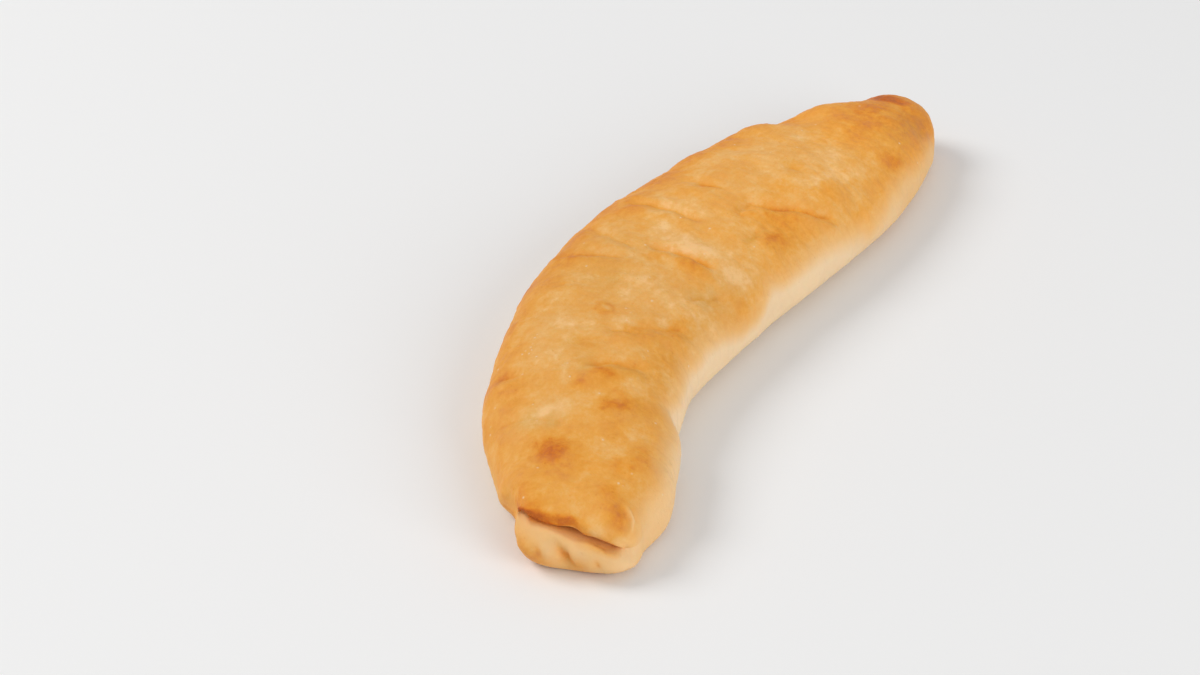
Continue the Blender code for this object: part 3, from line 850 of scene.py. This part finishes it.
left_side = smooth_step(*LEFT_SIDE, A)
left_gold_and_shade = LEFT_GOLD_AND_SHADE * smooth_step(*LEFT_GOLD_AND_SHADE_FROM, S)
left_gold_and_shade = left_gold_and_shade + FAR_LEFT_GOLD_AND_SHADE * smooth_step(*FAR_LEFT_GOLD_AND_SHADE_FROM, S)
toast += left_gold_and_shade * left_side
toast -= by_place(TOP_PALER) * (1 - left_side)
painted_light = by_place(PAINTED_LIGHT_ALONG)
print("toast:", round(toast.min(), 2), "to", round(toast.max(), 2))

# %% The edge of the browning
# How far around the crust the browning reaches, on the right and on the left, at places along it.
RIGHT_BORDER = (
    (0, 18), (20, 21), (38, 25), (55, 26), (70, 29), (80, 31), (100, 34), (110, 36), (122, 40),
    (132, 41), (145, 37), (175, 36), (190, 37), (203, 39), (212, 36), (222, 31), (240, 28),
    (250, 25), (262, 21),
)
LEFT_BORDER = ((0, -24), (20, -32), (40, -38), (80, -42), (150, -44), (200, -43), (240, -36), (272, -24))
BORDER_SOFTNESS = 5.0
BORDER_WANDER = 1.5
CREAM_AFTER = 9.0
FLANK_CREAM = ((0, 0), (60, 1.1), (110, 1.6), (150, 1.6), (200, 0.9), (235, 0.2), (272, 0.2))
OLIVE_ON_PALE = 0.3

shake = BORDER_WANDER * random_lumps(S, A, 9.0, 30.0, seed=31)
past = np.maximum(A + shake - by_place(RIGHT_BORDER), by_place(LEFT_BORDER) - A - shake)
pale = smooth_step(-BORDER_SOFTNESS, BORDER_SOFTNESS, past)
cream = smooth_step(0, CREAM_AFTER, past)
olive *= 1 - (1 - OLIVE_ON_PALE) * pale
print("share of the skin that is pale:", round(float(pale.mean()), 2))

# %% Browning of the lips
LIP_BROWN = (
    # from, to (across), strength
    (-21, -15.5, 0.4),
    (-15.5, -9.5, 0.52),
    (-9.5, -4, 0.46),
    (-4, -1.5, 0.18),
    (0.5, 10.5, -0.18),
)
LIP_BROWN_SOFT = 1.5
LIP_BAND_FROM, LIP_BAND_TO = (-7, -4), (0.5, 5.0)
LIP_BAND_RAG = 0.4
EDGE_PATCH, EDGE_PATCH_TOAST = ((3.6, 12.2), 5.5, 3.6), 0.27
EDGE_RIDGE_HIGHLIGHT = 0.4
lip_band = smooth_step(*LIP_BAND_FROM, from_lip) * on_crown
lip_band = lip_band * (1 - smooth_step(*LIP_BAND_TO, from_lip + LIP_BAND_RAG * rag))
for low, high, strength in LIP_BROWN:
    toast += strength * between(low, high, LIP_BROWN_SOFT, Q) * lip_band
toast += EDGE_PATCH_TOAST * patch(S, A, *EDGE_PATCH) * on_crown
# Painted highlight: the thin ridge round the right end of the top crust is made paler.
toast -= EDGE_RIDGE_HIGHLIGHT * edge_ridge
print("toast with the top crust's edge:", round(toast.min(), 2), "to", round(toast.max(), 2))

# %% The lower lip and the crevice
LOWER_LIP_GOLD = (
    # across to the right, up, radius, how golden
    (-20, 8, 4.5, 1),
    (-15, 4, 4.5, 1),
    (-4, 5, 4, 1),
    (8, 4, 4, 0.15),
    (16, 6, 5, 0.05),
)
# Creamier spots on the lower lip: the first two are painted highlights on its bulges, the last a paler
# place at its right.
LOWER_LIP_PALE_AND_HIGHLIGHTS = (
    (-12, 9, 2.4, 0.2),
    (-3, 9.5, 2.8, 0.25),
    (10, 6, 5, 0.4),
)
LOWER_LIP_TOAST = 0.12
LOWER_LIP_CREAM = 0.06
LOWER_LIP_SHADE, LOWER_LIP_SHADE_PLACE = 0.9, ((-8, 12.5), 5, 3)
GROOVE_TOAST, GROOVE_GOLD = 0.25, 0.75
CREVICE_PALE, CREVICE_GOLD, CREVICE_LESS_TOAST, CREVICE_PAINTED_LIGHT = 0.4, 0.8, 0.16, 0.18
SLIT_GOLD, SLIT_OLIVE = 0.9, 0.4
# Where each of these starts or ends: by the distance from the lip, negative inside the crevice.
CREVICE_TOP_TO, CREVICE_FRONT_TO = (-6.5, -3.5), (-13, -8)
LOWER_LIP_TO, SLIT_TO = (2, 16), (-2.5, -5)
# The same, by the distance across the mouth.
GOLDEN_FROM, SLIT_LEFT, SLIT_RIGHT = (-9, -3), (-6, -2), (7, 10)

# Inside the crevice the dough is painted lighter, as painted light against the flap's shade: less toast,
# a paler floor and more brightness. At its right end, where the flap stands off, it is kept more golden,
# as painted warm shade, and it is paler at its left.
inside_top = (1 - smooth_step(*CREVICE_TOP_TO, from_lip)) * on_crown
inside_front = (1 - smooth_step(*CREVICE_FRONT_TO, from_lip)) * front
inside = np.maximum(inside_top, inside_front) * is_mouth
golden = inside * smooth_step(*GOLDEN_FROM, Q)
lower_lip = front * (1 - smooth_step(*LOWER_LIP_TO, from_lip)) * (1 - inside)
pale = np.maximum(pale, lower_lip)
pale = pale * (1 - CREVICE_GOLD * golden)
cream = np.maximum(cream * by_place(FLANK_CREAM), LOWER_LIP_CREAM * lower_lip) * (1 - inside)
toast += GROOVE_TOAST * lip_groove_line - CREVICE_LESS_TOAST * inside
pale -= GROOVE_GOLD * lip_groove_line
for across, up, radius, size in LOWER_LIP_GOLD:
    gold = size * on_lower_lip(across, up, radius)
    pale -= gold
    toast += LOWER_LIP_TOAST * gold
# Painted shade: on the lower lip, just under the flap's edge, the slit is painted a darker gold with olive.
slit = front * smooth_step(*SLIT_TO, from_lip)
slit = slit * smooth_step(*SLIT_LEFT, Q) * (1 - smooth_step(*SLIT_RIGHT, Q))
pale -= SLIT_GOLD * slit
olive += SLIT_OLIVE * slit
# Painted light inside the crevice: a floor of paleness and extra brightness.
pale = np.clip(np.maximum(pale, CREVICE_PALE * inside), 0, 1)
painted_light = 1 + (painted_light - 1) * (1 - pale) + CREVICE_PAINTED_LIGHT * inside
# Painted highlights on the lower lip's bulges, and a paler place at its right.
for across, up, radius, size in LOWER_LIP_PALE_AND_HIGHLIGHTS:
    cream += size * on_lower_lip(across, up, radius)
olive += LOWER_LIP_SHADE * patch(Q, Z, *LOWER_LIP_SHADE_PLACE) * front
print("share of the skin inside the crevice:", round(float(inside.mean()), 2))

# %% The underside
# It is pale, with brown patches where it touched the hot tray.
BASE_BROWN = 0.22
BASE_BARE = 0.85
BASE_FADE = (0.2, 3.0)
TRAY_LAYERS = ((1, 11, 11, 51), (0.6, 4, 4, 52))
TRAY_MARK_EDGE = (-0.2, 1.0)
under = 1 - smooth_step(*BASE_FADE, Z)
tray_mark = under * smooth_step(*TRAY_MARK_EDGE, layered_lumps(S, Q, TRAY_LAYERS))
toast += BASE_BROWN * tray_mark
pale *= 1 - BASE_BARE * tray_mark
cream *= 1 - tray_mark
print("strongest mark of the tray:", round(float(tray_mark.max()), 2))

# %% [markdown]
# ## The mesh
#
# The rings become a mesh of quads, closed with a small fan at each end. The numbers for browning are
# stored on its points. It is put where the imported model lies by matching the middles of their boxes.

# %% Make the skin
SKIN_MAPS = {
    "along": S,
    "around": A,
    "toast": toast,
    "pale": pale,
    "cream": cream,
    "olive": olive,
    "painted_light": painted_light,
    "flecks_and_glints": flecks_and_glints,
    "relief_share": relief_share,
}


def skin_points():
    points = to_plan(rings)
    points += skin_normals(points) * (height * MM)[..., None]
    points[..., 2] = np.maximum(points[..., 2], 0)
    low, high = points.min((0, 1)), points.max((0, 1))
    middle = (np.array(cad_low) + np.array(cad_high)) / 2
    points[..., :2] += middle[:2] - (low[:2] + high[:2]) / 2
    return points


def closed_loft(name, points, maps):
    """A mesh of the rings, a fan over each end, and one float attribute for each map."""
    rows, count = points.shape[:2]
    index = np.arange(rows * count).reshape(rows, count)
    near, far = index[:-1], index[1:]
    quads = np.stack([near, far, np.roll(far, -1, 1), np.roll(near, -1, 1)], -1).reshape(-1, 4)
    caps = []
    for ring, middle, turn in ((index[0], rows * count, -1), (index[-1], rows * count + 1, 1)):
        caps += [(a, middle, b)[::turn] for a, b in zip(ring, np.roll(ring, -1))]
    verts = np.concatenate([points.reshape(-1, 3), points[[0, -1]].mean(1)])
    mesh = bpy.data.meshes.new(name)
    mesh.from_pydata(verts.tolist(), [], quads.tolist() + caps)
    for label, values in maps.items():
        values = np.broadcast_to(values, (rows, count))
        flat = np.concatenate([values.ravel(), values[[0, -1]].mean(1)])
        mesh.attributes.new(label, "FLOAT", "POINT").data.foreach_set("value", flat.astype("f"))
    mesh.update()
    return put_in_scene(name, mesh)


bread = closed_loft("khachapuri_crust", skin_points(), SKIN_MAPS)
print("points:", len(bread.data.vertices), "faces:", len(bread.data.polygons))

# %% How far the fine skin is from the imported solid
SAMPLE_EVERY = 7


def points_of(mesh):
    flat = np.zeros(len(mesh.vertices) * 3, "f")
    mesh.vertices.foreach_get("co", flat)
    return flat.reshape(-1, 3)


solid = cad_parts["khachapuri"]
solid_tree = BVHTree.FromPolygons(points_of(solid.data).tolist(), [p.vertices for p in solid.data.polygons])
gaps = np.array([solid_tree.find_nearest(Vector(p))[3] for p in points_of(bread.data)[::SAMPLE_EVERY]]) / MM
print("skin to solid, mm: mean", round(gaps.mean(), 2), "largest", round(gaps.max(), 2))

# %% [markdown]
# ## Fine skin, by Geometry Nodes
#
# Up close the crust has short wrinkles across the roll, and pimples where small bubbles broke under
# the skin. They follow the surface and repeat over all of it, which is what Geometry Nodes are good
# at: the tree reads the distances along and around, makes noise from them, and moves each point
# along its normal. Its sizes are inputs, so another bread needs only other numbers. It runs once the
# crust's material, which it puts on the skin, has been made.

# %% Helpers for node trees
def add_node(tree, kind, **values):
    """A node with its properties set by name."""
    node = tree.nodes.new(kind)
    for name, value in values.items():
        setattr(node, name, value)
    return node


def feed(tree, source, target):
    """Link an output to an input, or set the input to a plain value."""
    if isinstance(source, bpy.types.NodeSocket):
        tree.links.new(source, target)
    else:
        target.default_value = source


def maths(tree, operation, *values, clamp=False):
    node = add_node(tree, "ShaderNodeMath", operation=operation, use_clamp=clamp)
    for value, socket in zip(values, node.inputs):
        feed(tree, value, socket)
    return node.outputs[0]


def vector(tree, x, y, z):
    node = add_node(tree, "ShaderNodeCombineXYZ")
    for value, socket in zip((x, y, z), node.inputs):
        feed(tree, value, socket)
    return node.outputs[0]


def noise(tree, place, scale, detail=2.0, roughness=0.5):
    """Noise from about -1 to 1."""
    node = add_node(tree, "ShaderNodeTexNoise", noise_dimensions="3D")
    feed(tree, place, node.inputs["Vector"])
    feed(tree, scale, node.inputs["Scale"])
    feed(tree, detail, node.inputs["Detail"])
    feed(tree, roughness, node.inputs["Roughness"])
    value = node.outputs[0]
    return maths(tree, "MULTIPLY", maths(tree, "SUBTRACT", value, 0.5), 2.0)


def plus(tree, level, value, share, clamp=False):
    """The level with this share of the value added."""
    return maths(tree, "ADD", level, maths(tree, "MULTIPLY", value, share), clamp=clamp)


def round_cells(tree, place, scale):
    """Round cells: how far a point is from its cell's middle, and each cell's own random number."""
    node = add_node(tree, "ShaderNodeTexVoronoi", voronoi_dimensions="3D", feature="F1")
    feed(tree, place, node.inputs["Vector"])
    feed(tree, scale, node.inputs["Scale"])
    tone = add_node(tree, "ShaderNodeSeparateXYZ")
    feed(tree, node.outputs["Color"], tone.inputs[0])
    return node.outputs["Distance"], tone.outputs[0]


def start_tree(name, kind, inputs, outputs):
    """A node group with named sockets, each given by its type, or by its default if it takes a
    number. Returns the group, its inputs by name and its output node."""
    tree = bpy.data.node_groups.new(name, kind)
    for label, given in inputs.items():
        number = isinstance(given, float)
        kind_of_socket = "NodeSocket" + ("Float" if number else given)
        socket = tree.interface.new_socket(label, in_out="INPUT", socket_type=kind_of_socket)
        if number:
            socket.default_value = given
    for label, given in outputs.items():
        tree.interface.new_socket(label, in_out="OUTPUT", socket_type="NodeSocket" + given)
    given = add_node(tree, "NodeGroupInput")
    return tree, given.outputs, add_node(tree, "NodeGroupOutput")


def stored(tree, label):
    node = add_node(tree, "GeometryNodeInputNamedAttribute", data_type="FLOAT")
    node.inputs["Name"].default_value = label
    return node.outputs["Attribute"]


# %% The tree of the fine skin
WRINKLE_BEND = 9.0
WRINKLE_BEND_LENGTH = 20.0
PIMPLE_STEEPNESS = 2.2
CELLS_WITHOUT_PIMPLE = 0.72


def skin_tree():
    tree, given, end = start_tree(
        "fine skin of the crust",
        "GeometryNodeTree",
        {
            "Geometry": "Geometry",
            "Wrinkle height": 0.0,
            "Wrinkle width": 3.0,
            "Wrinkle length": 12.0,
            "Dimple height": 0.0,
            "Dimple size": 6.0,
            "Pimple height": 0.0,
            "Pimple size": 2.5,
            "Seed": 1.0,
            "Crust": "Material",
        },
        {"Geometry": "Geometry"},
    )
    along, about, share = stored(tree, "along"), stored(tree, "around"), stored(tree, "relief_share")

    # Wrinkles: noise that is stretched around the roll, and bent by a slower noise.
    skin_place = vector(tree, along, about, given["Seed"])
    bent = plus(tree, along, noise(tree, skin_place, 1 / WRINKLE_BEND_LENGTH), WRINKLE_BEND)
    across = maths(tree, "DIVIDE", bent, given["Wrinkle width"])
    length = maths(tree, "DIVIDE", about, given["Wrinkle length"])
    wrinkle = noise(tree, vector(tree, across, length, given["Seed"]), 1.0, detail=1.5)

    # Dimples: the same kind of noise, as wide as it is long.
    dimple = noise(tree, skin_place, maths(tree, "DIVIDE", 1.0, given["Dimple size"]), detail=2.0)

    # Pimples: one dome in some of the cells.
    away, own = round_cells(tree, skin_place, maths(tree, "DIVIDE", 1.0, given["Pimple size"]))
    dome = plus(tree, 1.0, away, -PIMPLE_STEEPNESS, clamp=True)
    chosen = maths(tree, "GREATER_THAN", own, CELLS_WITHOUT_PIMPLE)
    pimple = maths(tree, "MULTIPLY", maths(tree, "MULTIPLY", dome, dome), chosen)

    total = maths(tree, "MULTIPLY", wrinkle, given["Wrinkle height"])
    total = plus(tree, total, dimple, given["Dimple height"])
    total = plus(tree, total, pimple, given["Pimple height"])
    total = maths(tree, "MULTIPLY", total, share)

    move = add_node(tree, "GeometryNodeSetPosition")
    normal = add_node(tree, "GeometryNodeInputNormal")
    offset = add_node(tree, "ShaderNodeVectorMath", operation="SCALE")
    feed(tree, normal.outputs[0], offset.inputs[0])
    feed(tree, maths(tree, "MULTIPLY", total, MM), offset.inputs["Scale"])
    feed(tree, given["Geometry"], move.inputs["Geometry"])
    feed(tree, offset.outputs[0], move.inputs["Offset"])

    keep = add_node(tree, "GeometryNodeStoreNamedAttribute", data_type="FLOAT", domain="POINT")
    keep.inputs["Name"].default_value = "raised"
    feed(tree, move.outputs[0], keep.inputs["Geometry"])
    feed(tree, total, keep.inputs["Value"])
    whole = add_node(tree, "GeometryNodeRealizeInstances")
    feed(tree, keep.outputs[0], whole.inputs[0])
    dress = add_node(tree, "GeometryNodeSetMaterial")
    feed(tree, whole.outputs[0], dress.inputs["Geometry"])
    feed(tree, given["Crust"], dress.inputs["Material"])
    feed(tree, dress.outputs[0], end.inputs["Geometry"])
    return tree


FINE_SKIN = skin_tree()
print("tree:", FINE_SKIN.name, "of", len(FINE_SKIN.nodes), "nodes")

# %% [markdown]
# ## The crust's material
#
# Baked dough is matt, a little waxy where it was brushed, and light goes a short way into it. Its
# colour runs from cream over straw and gold to a red brown, and it never changes by one smooth ramp:
# there are clouds a centimetre wide, and specks of about a millimetre. The toast stored on the mesh
# chooses the place on the ramp, and node groups add the clouds, the pores and whitish flakes, which are
# partly flakes of dough and partly painted glints. A painted light stored on the mesh scales the colour.

# %% The colours of the oven
OLIVE_STRENGTH = 0.35


def colour_group():
    """Toast and paleness in, colour out."""
    tree, given, end = start_tree(
        "oven colour",
        "ShaderNodeTree",
        {"Toast": 0.3, "Pale": 0.0, "Cream": 0.0, "Olive": 0.0, "Brightness": 1.0},
        {"Color": "Color"},
    )
    ramp = add_node(tree, "ShaderNodeValToRGB")
    stops = (
        (0.0, (0.860, 0.520, 0.220)),
        (0.15, (0.800, 0.430, 0.125)),
        (0.3, (0.790, 0.365, 0.065)),
        (0.45, (0.760, 0.310, 0.035)),
        (0.6, (0.700, 0.235, 0.018)),
        (0.8, (0.580, 0.145, 0.012)),
        (1.0, (0.400, 0.080, 0.008)),
    )
    elements = ramp.color_ramp.elements
    while len(elements) < len(stops):
        elements.new(0.5)
    for element, (place, colour) in zip(elements, stops):
        element.position = place
        element.color = (*colour, 1)
    feed(tree, given["Toast"], ramp.inputs[0])
    shade = ramp.outputs[0]
    for share, tint in (
        (maths(tree, "MULTIPLY", given["Olive"], OLIVE_STRENGTH), (0.560, 0.330, 0.070)),
        (given["Pale"], (0.840, 0.500, 0.200)),
        (given["Cream"], (0.860, 0.630, 0.385)),
    ):
        mix = add_node(tree, "ShaderNodeMix", data_type="RGBA")
        feed(tree, share, mix.inputs["Factor"])
        feed(tree, shade, mix.inputs[6])
        mix.inputs[7].default_value = (*tint, 1)
        shade = mix.outputs[2]
    # The brightness scales the colour. It carries the painted light stored on the mesh.
    bright = add_node(tree, "ShaderNodeVectorMath", operation="SCALE")
    feed(tree, shade, bright.inputs[0])
    feed(tree, given["Brightness"], bright.inputs["Scale"])
    feed(tree, bright.outputs[0], end.inputs["Color"])
    return tree


OVEN_COLOUR = colour_group()
print("node group:", OVEN_COLOUR.name)

# %% Clouds, pores and flakes
PORE_STEEPNESS = 4.0
CELLS_WITHOUT_PORE = 0.8
GRAIN_SHARE = 0.5
FLAKE_TOP = 1.2
FLAKE_STEEPNESS = 3.0


def cloud_group():
    """Uneven clouds, about -1 to 1, at two sizes in mm."""
    tree, given, end = start_tree(
        "clouds in the crust",
        "ShaderNodeTree",
        {"Place": "Vector", "Broad": 12.0, "Fine": 2.0, "Fine share": 0.5},
        {"Value": "Float"},
    )
    broad = noise(tree, given["Place"], maths(tree, "DIVIDE", 1000.0, given["Broad"]), 3.0)
    fine = noise(tree, given["Place"], maths(tree, "DIVIDE", 1000.0, given["Fine"]), 3.0, 0.6)
    feed(tree, plus(tree, broad, fine, given["Fine share"]), end.inputs["Value"])
    return tree


def pore_group():
    """Grain and pores of baked dough, as a height from about -1 to 1, and a mask of the pores."""
    tree, given, end = start_tree(
        "grain and pores",
        "ShaderNodeTree",
        {"Place": "Vector", "Grain": 0.8, "Pore": 1.6},
        {"Height": "Float", "Pores": "Float"},
    )
    grain = noise(tree, given["Place"], maths(tree, "DIVIDE", 1000.0, given["Grain"]), 3.0, 0.6)
    away, own = round_cells(tree, given["Place"], maths(tree, "DIVIDE", 1000.0, given["Pore"]))
    hole = plus(tree, 1.0, away, -PORE_STEEPNESS, clamp=True)
    pores = maths(tree, "MULTIPLY", hole, maths(tree, "GREATER_THAN", own, CELLS_WITHOUT_PORE))
    height_of_grain = maths(tree, "MULTIPLY", grain, GRAIN_SHARE)
    feed(tree, maths(tree, "SUBTRACT", height_of_grain, pores), end.inputs["Height"])
    feed(tree, pores, end.inputs["Pores"])
    return tree


def flake_group():
    """Whitish flakes of dough and painted glints, of a size in mm. The amount is the share of cells that
    hold one.
    """
    tree, given, end = start_tree(
        "flakes of dough",
        "ShaderNodeTree",
        {"Place": "Vector", "Size": 1.5, "Amount": 0.0},
        {"Value": "Float"},
    )
    away, own = round_cells(tree, given["Place"], maths(tree, "DIVIDE", 1000.0, given["Size"]))
    flake = plus(tree, FLAKE_TOP, away, -FLAKE_STEEPNESS, clamp=True)
    chosen = maths(tree, "LESS_THAN", own, given["Amount"])
    feed(tree, maths(tree, "MULTIPLY", flake, chosen), end.inputs["Value"])
    return tree


CLOUDS, PORES, FLAKES_AND_GLINTS = cloud_group(), pore_group(), flake_group()
print("node groups:", ", ".join(group.name for group in (CLOUDS, PORES, FLAKES_AND_GLINTS)))

# %% The crust's shader
BASE_TOAST, RAISED_TOAST, PORE_TOAST = 0.27, 0.10, 0.10
CLOUD_TOAST, CLOUD_PALE, CLOUD_CREAM, CLOUD_SHADE = 0.22, 0.12, 0.10, 0.035
UNEVENNESS = 0.22
SPECK_SHARE, SPECK_OLIVE = 0.45, 0.25
FLAKE_SIZE, FLAKE_AND_GLINT_CREAM, FLAKES_THICKEST = 1.4, 0.8, 0.45
CRUST_ROUGHNESS, CLOUD_GLOSS, PALE_ROUGHER = 0.55, 0.06, 0.12
CRUST_SHINE = 0.22
CRUST_BUMP = 0.12 * MM
# How much of the light goes into the dough, how far, and how far each of its colours.
LIGHT_INTO_DOUGH = 0.12
LIGHT_DEPTH = 1.5 * MM
LIGHT_COLOURS = (1.0, 0.45, 0.2)


def place_group(tree, group, **values):
    node = add_node(tree, "ShaderNodeGroup", node_tree=group)
    for name, value in values.items():
        feed(tree, value, node.inputs[name.replace("_", " ")])
    return node


def painted(tree, label):
    return add_node(tree, "ShaderNodeAttribute", attribute_name=label).outputs["Fac"]


def crust_material():
    material = bpy.data.materials.new("baked_crust")
    material.use_nodes = True
    tree = material.node_tree
    shader = tree.nodes["Principled BSDF"]
    place = add_node(tree, "ShaderNodeTexCoord").outputs["Object"]

    clouds = place_group(tree, CLOUDS, Place=place, Broad=11.0, Fine=3.0, Fine_share=0.7).outputs[0]
    specks = place_group(tree, CLOUDS, Place=place, Broad=1.6, Fine=0.7, Fine_share=0.7).outputs[0]
    grain = place_group(tree, PORES, Place=place, Grain=0.9, Pore=1.7)

    # Browner places are also more uneven.
    level = maths(tree, "ADD", painted(tree, "toast"), BASE_TOAST)
    unrest = plus(tree, CLOUD_TOAST, level, UNEVENNESS)
    level = plus(tree, level, clouds, unrest)
    level = plus(tree, level, specks, maths(tree, "MULTIPLY", unrest, SPECK_SHARE))
    level = plus(tree, level, painted(tree, "raised"), RAISED_TOAST)
    level = plus(tree, level, grain.outputs["Pores"], PORE_TOAST, clamp=True)
    pale = plus(tree, painted(tree, "pale"), clouds, CLOUD_PALE, clamp=True)
    cream = plus(tree, painted(tree, "cream"), clouds, CLOUD_CREAM, clamp=True)
    # Whitish flakes: painted glints where the flecks lie thick, and sparse flakes of dough elsewhere.
    amount = maths(tree, "MULTIPLY", painted(tree, "flecks_and_glints"), FLAKES_THICKEST)
    flakes = place_group(tree, FLAKES_AND_GLINTS, Place=place, Size=FLAKE_SIZE, Amount=amount).outputs[0]
    cream = plus(tree, cream, flakes, FLAKE_AND_GLINT_CREAM, clamp=True)
    olive = plus(tree, painted(tree, "olive"), specks, SPECK_OLIVE, clamp=True)
    # Painted light from the mesh, with a little random tone from the clouds.
    bright = plus(tree, painted(tree, "painted_light"), clouds, -CLOUD_SHADE)
    colour = place_group(
        tree, OVEN_COLOUR, Toast=level, Pale=pale, Cream=cream, Olive=olive, Brightness=bright
    )
    feed(tree, colour.outputs[0], shader.inputs["Base Color"])

    roughness = plus(tree, CRUST_ROUGHNESS, clouds, -CLOUD_GLOSS)
    feed(tree, plus(tree, roughness, pale, PALE_ROUGHER), shader.inputs["Roughness"])
    bump = add_node(tree, "ShaderNodeBump")
    bump.inputs["Distance"].default_value = CRUST_BUMP
    feed(tree, maths(tree, "ADD", grain.outputs["Height"], flakes), bump.inputs["Height"])
    feed(tree, bump.outputs[0], shader.inputs["Normal"])

    shader.inputs["Subsurface Weight"].default_value = LIGHT_INTO_DOUGH
    shader.inputs["Subsurface Radius"].default_value = LIGHT_COLOURS
    shader.inputs["Subsurface Scale"].default_value = LIGHT_DEPTH
    shader.inputs["Specular IOR Level"].default_value = CRUST_SHINE
    return material


baked_crust = crust_material()
print("material:", baked_crust.name)

# %% Run the tree on the skin
def run_tree(thing, tree, values):
    """Put the tree on the object with these inputs, and turn the result into a plain mesh."""
    modifier = thing.modifiers.new(tree.name, "NODES")
    modifier.node_group = tree
    for item in tree.interface.items_tree:
        if item.item_type == "SOCKET" and item.in_out == "INPUT" and item.name in values:
            modifier[item.identifier] = values[item.name]
    graph = bpy.context.evaluated_depsgraph_get()
    mesh = bpy.data.meshes.new_from_object(
        thing.evaluated_get(graph), preserve_all_data_layers=True, depsgraph=graph
    )
    thing.modifiers.clear()
    return mesh


bread.data = run_tree(
    bread,
    FINE_SKIN,
    {
        "Wrinkle height": 0.38,
        "Wrinkle width": 3.4,
        "Wrinkle length": 13.0,
        "Dimple height": 0.55,
        "Dimple size": 6.5,
        "Pimple height": 0.25,
        "Pimple size": 2.6,
        "Seed": 4.0,
        "Crust": baked_crust,
    },
)
bread.data.shade_smooth()
raised = np.zeros(len(bread.data.vertices), "f")
bread.data.attributes["raised"].data.foreach_get("value", raised)
print("fine skin, mm:", round(float(raised.min()), 2), "to", round(float(raised.max()), 2))

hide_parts("khachapuri")
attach(bread, "root")

# %% [markdown]
# ## Floor, light and camera
#
# The bread lies on a plain pale floor. A broad soft light from behind on the left gives it the short
# shadow at its right, and a second one and a pale sky lighten that shadow. The camera looks down at
# the angle of the reference, from so far that the bread fills the middle of the frame.

# %% Floor
FLOOR_SIZE = 6.0
FLOOR_DROP = 0.1 * MM
FLOOR_COLOUR = (0.880, 0.886, 0.896, 1)
FLOOR_ROUGHNESS = 0.7


def make_floor():
    mesh = bpy.data.meshes.new("floor")
    half = FLOOR_SIZE / 2
    corners = ((-half, -half), (half, -half), (half, half), (-half, half))
    mesh.from_pydata([(x, y, -FLOOR_DROP) for x, y in corners], [], [(0, 1, 2, 3)])
    material = bpy.data.materials.new("pale_floor")
    material.use_nodes = True
    shader = material.node_tree.nodes["Principled BSDF"]
    shader.inputs["Base Color"].default_value = FLOOR_COLOUR
    shader.inputs["Roughness"].default_value = FLOOR_ROUGHNESS
    mesh.materials.append(material)
    floor = put_in_scene("floor", mesh)
    floor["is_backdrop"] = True


make_floor()
print("floor, m:", FLOOR_SIZE, "square, and its top", FLOOR_DROP, "under the bread")

# %% Light
CAMERA_AZIMUTH = -66.553
CAMERA_ELEVATION = 34.0
CAMERA_DISTANCE = 0.9
CAMERA_LENS = 86.4
CAMERA_TARGET = Vector((-0.01966, 0.02184, 0.0))
LIGHTS = (
    # name, azimuth, elevation, distance, size, power, colour
    ("key", CAMERA_AZIMUTH - 103, 42, 2.6, 1.3, 32.0, (1.0, 0.98, 0.95)),
    ("fill", CAMERA_AZIMUTH + 45, 25, 2.6, 1.95, 27.0, (1.0, 0.99, 0.97)),
)
SKY_STRENGTH = 0.51


def towards(azimuth, elevation):
    """Unit vector from the bread to something seen at this azimuth and elevation."""
    a, e = math.radians(azimuth), math.radians(elevation)
    return Vector((math.sin(a) * math.cos(e), -math.cos(a) * math.cos(e), math.sin(e)))


def area_light(name, azimuth, elevation, distance, size, power, colour):
    lamp = bpy.data.lights.new(name, "AREA")
    lamp.shape = "DISK"
    lamp.size = size
    lamp.energy = power
    lamp.color = colour
    thing = put_in_scene(name, lamp)
    ray = towards(azimuth, elevation)
    thing.location = CAMERA_TARGET + ray * distance
    thing.rotation_euler = ray.to_track_quat("Z", "Y").to_euler()


for light in LIGHTS:
    area_light(*light)
sky = bpy.data.worlds.new("sky")
sky.use_nodes = True
sky.node_tree.nodes["Background"].inputs["Color"].default_value = (1.0, 1.0, 1.0, 1)
sky.node_tree.nodes["Background"].inputs["Strength"].default_value = SKY_STRENGTH
bpy.context.scene.world = sky
bpy.context.scene.view_settings.view_transform = "Standard"
print("lights:", ", ".join(light[0] for light in LIGHTS), "and", sky.name)

# %% Camera
camera = put_in_scene("camera", bpy.data.cameras.new("camera"))
camera.data.lens = CAMERA_LENS
camera.data.sensor_width = 36.0
camera.data.clip_start = 0.01
camera.location = CAMERA_TARGET + towards(CAMERA_AZIMUTH, CAMERA_ELEVATION) * CAMERA_DISTANCE
camera.rotation_euler = towards(CAMERA_AZIMUTH, CAMERA_ELEVATION).to_track_quat("Z", "Y").to_euler()
bpy.context.scene.camera = camera
print("camera at, m:", [round(v, 3) for v in camera.location])

# %% [markdown]
# ## Last sizes
#
# The dressed bread must keep the imported model's size, so both boxes are printed: the imported one at
# the top, and the dressed one here, for comparison.

# %% Sizes, and the end
low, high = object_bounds()
print("dressed model, mm:", [round((b - a) * 1000, 1) for a, b in zip(low, high)])
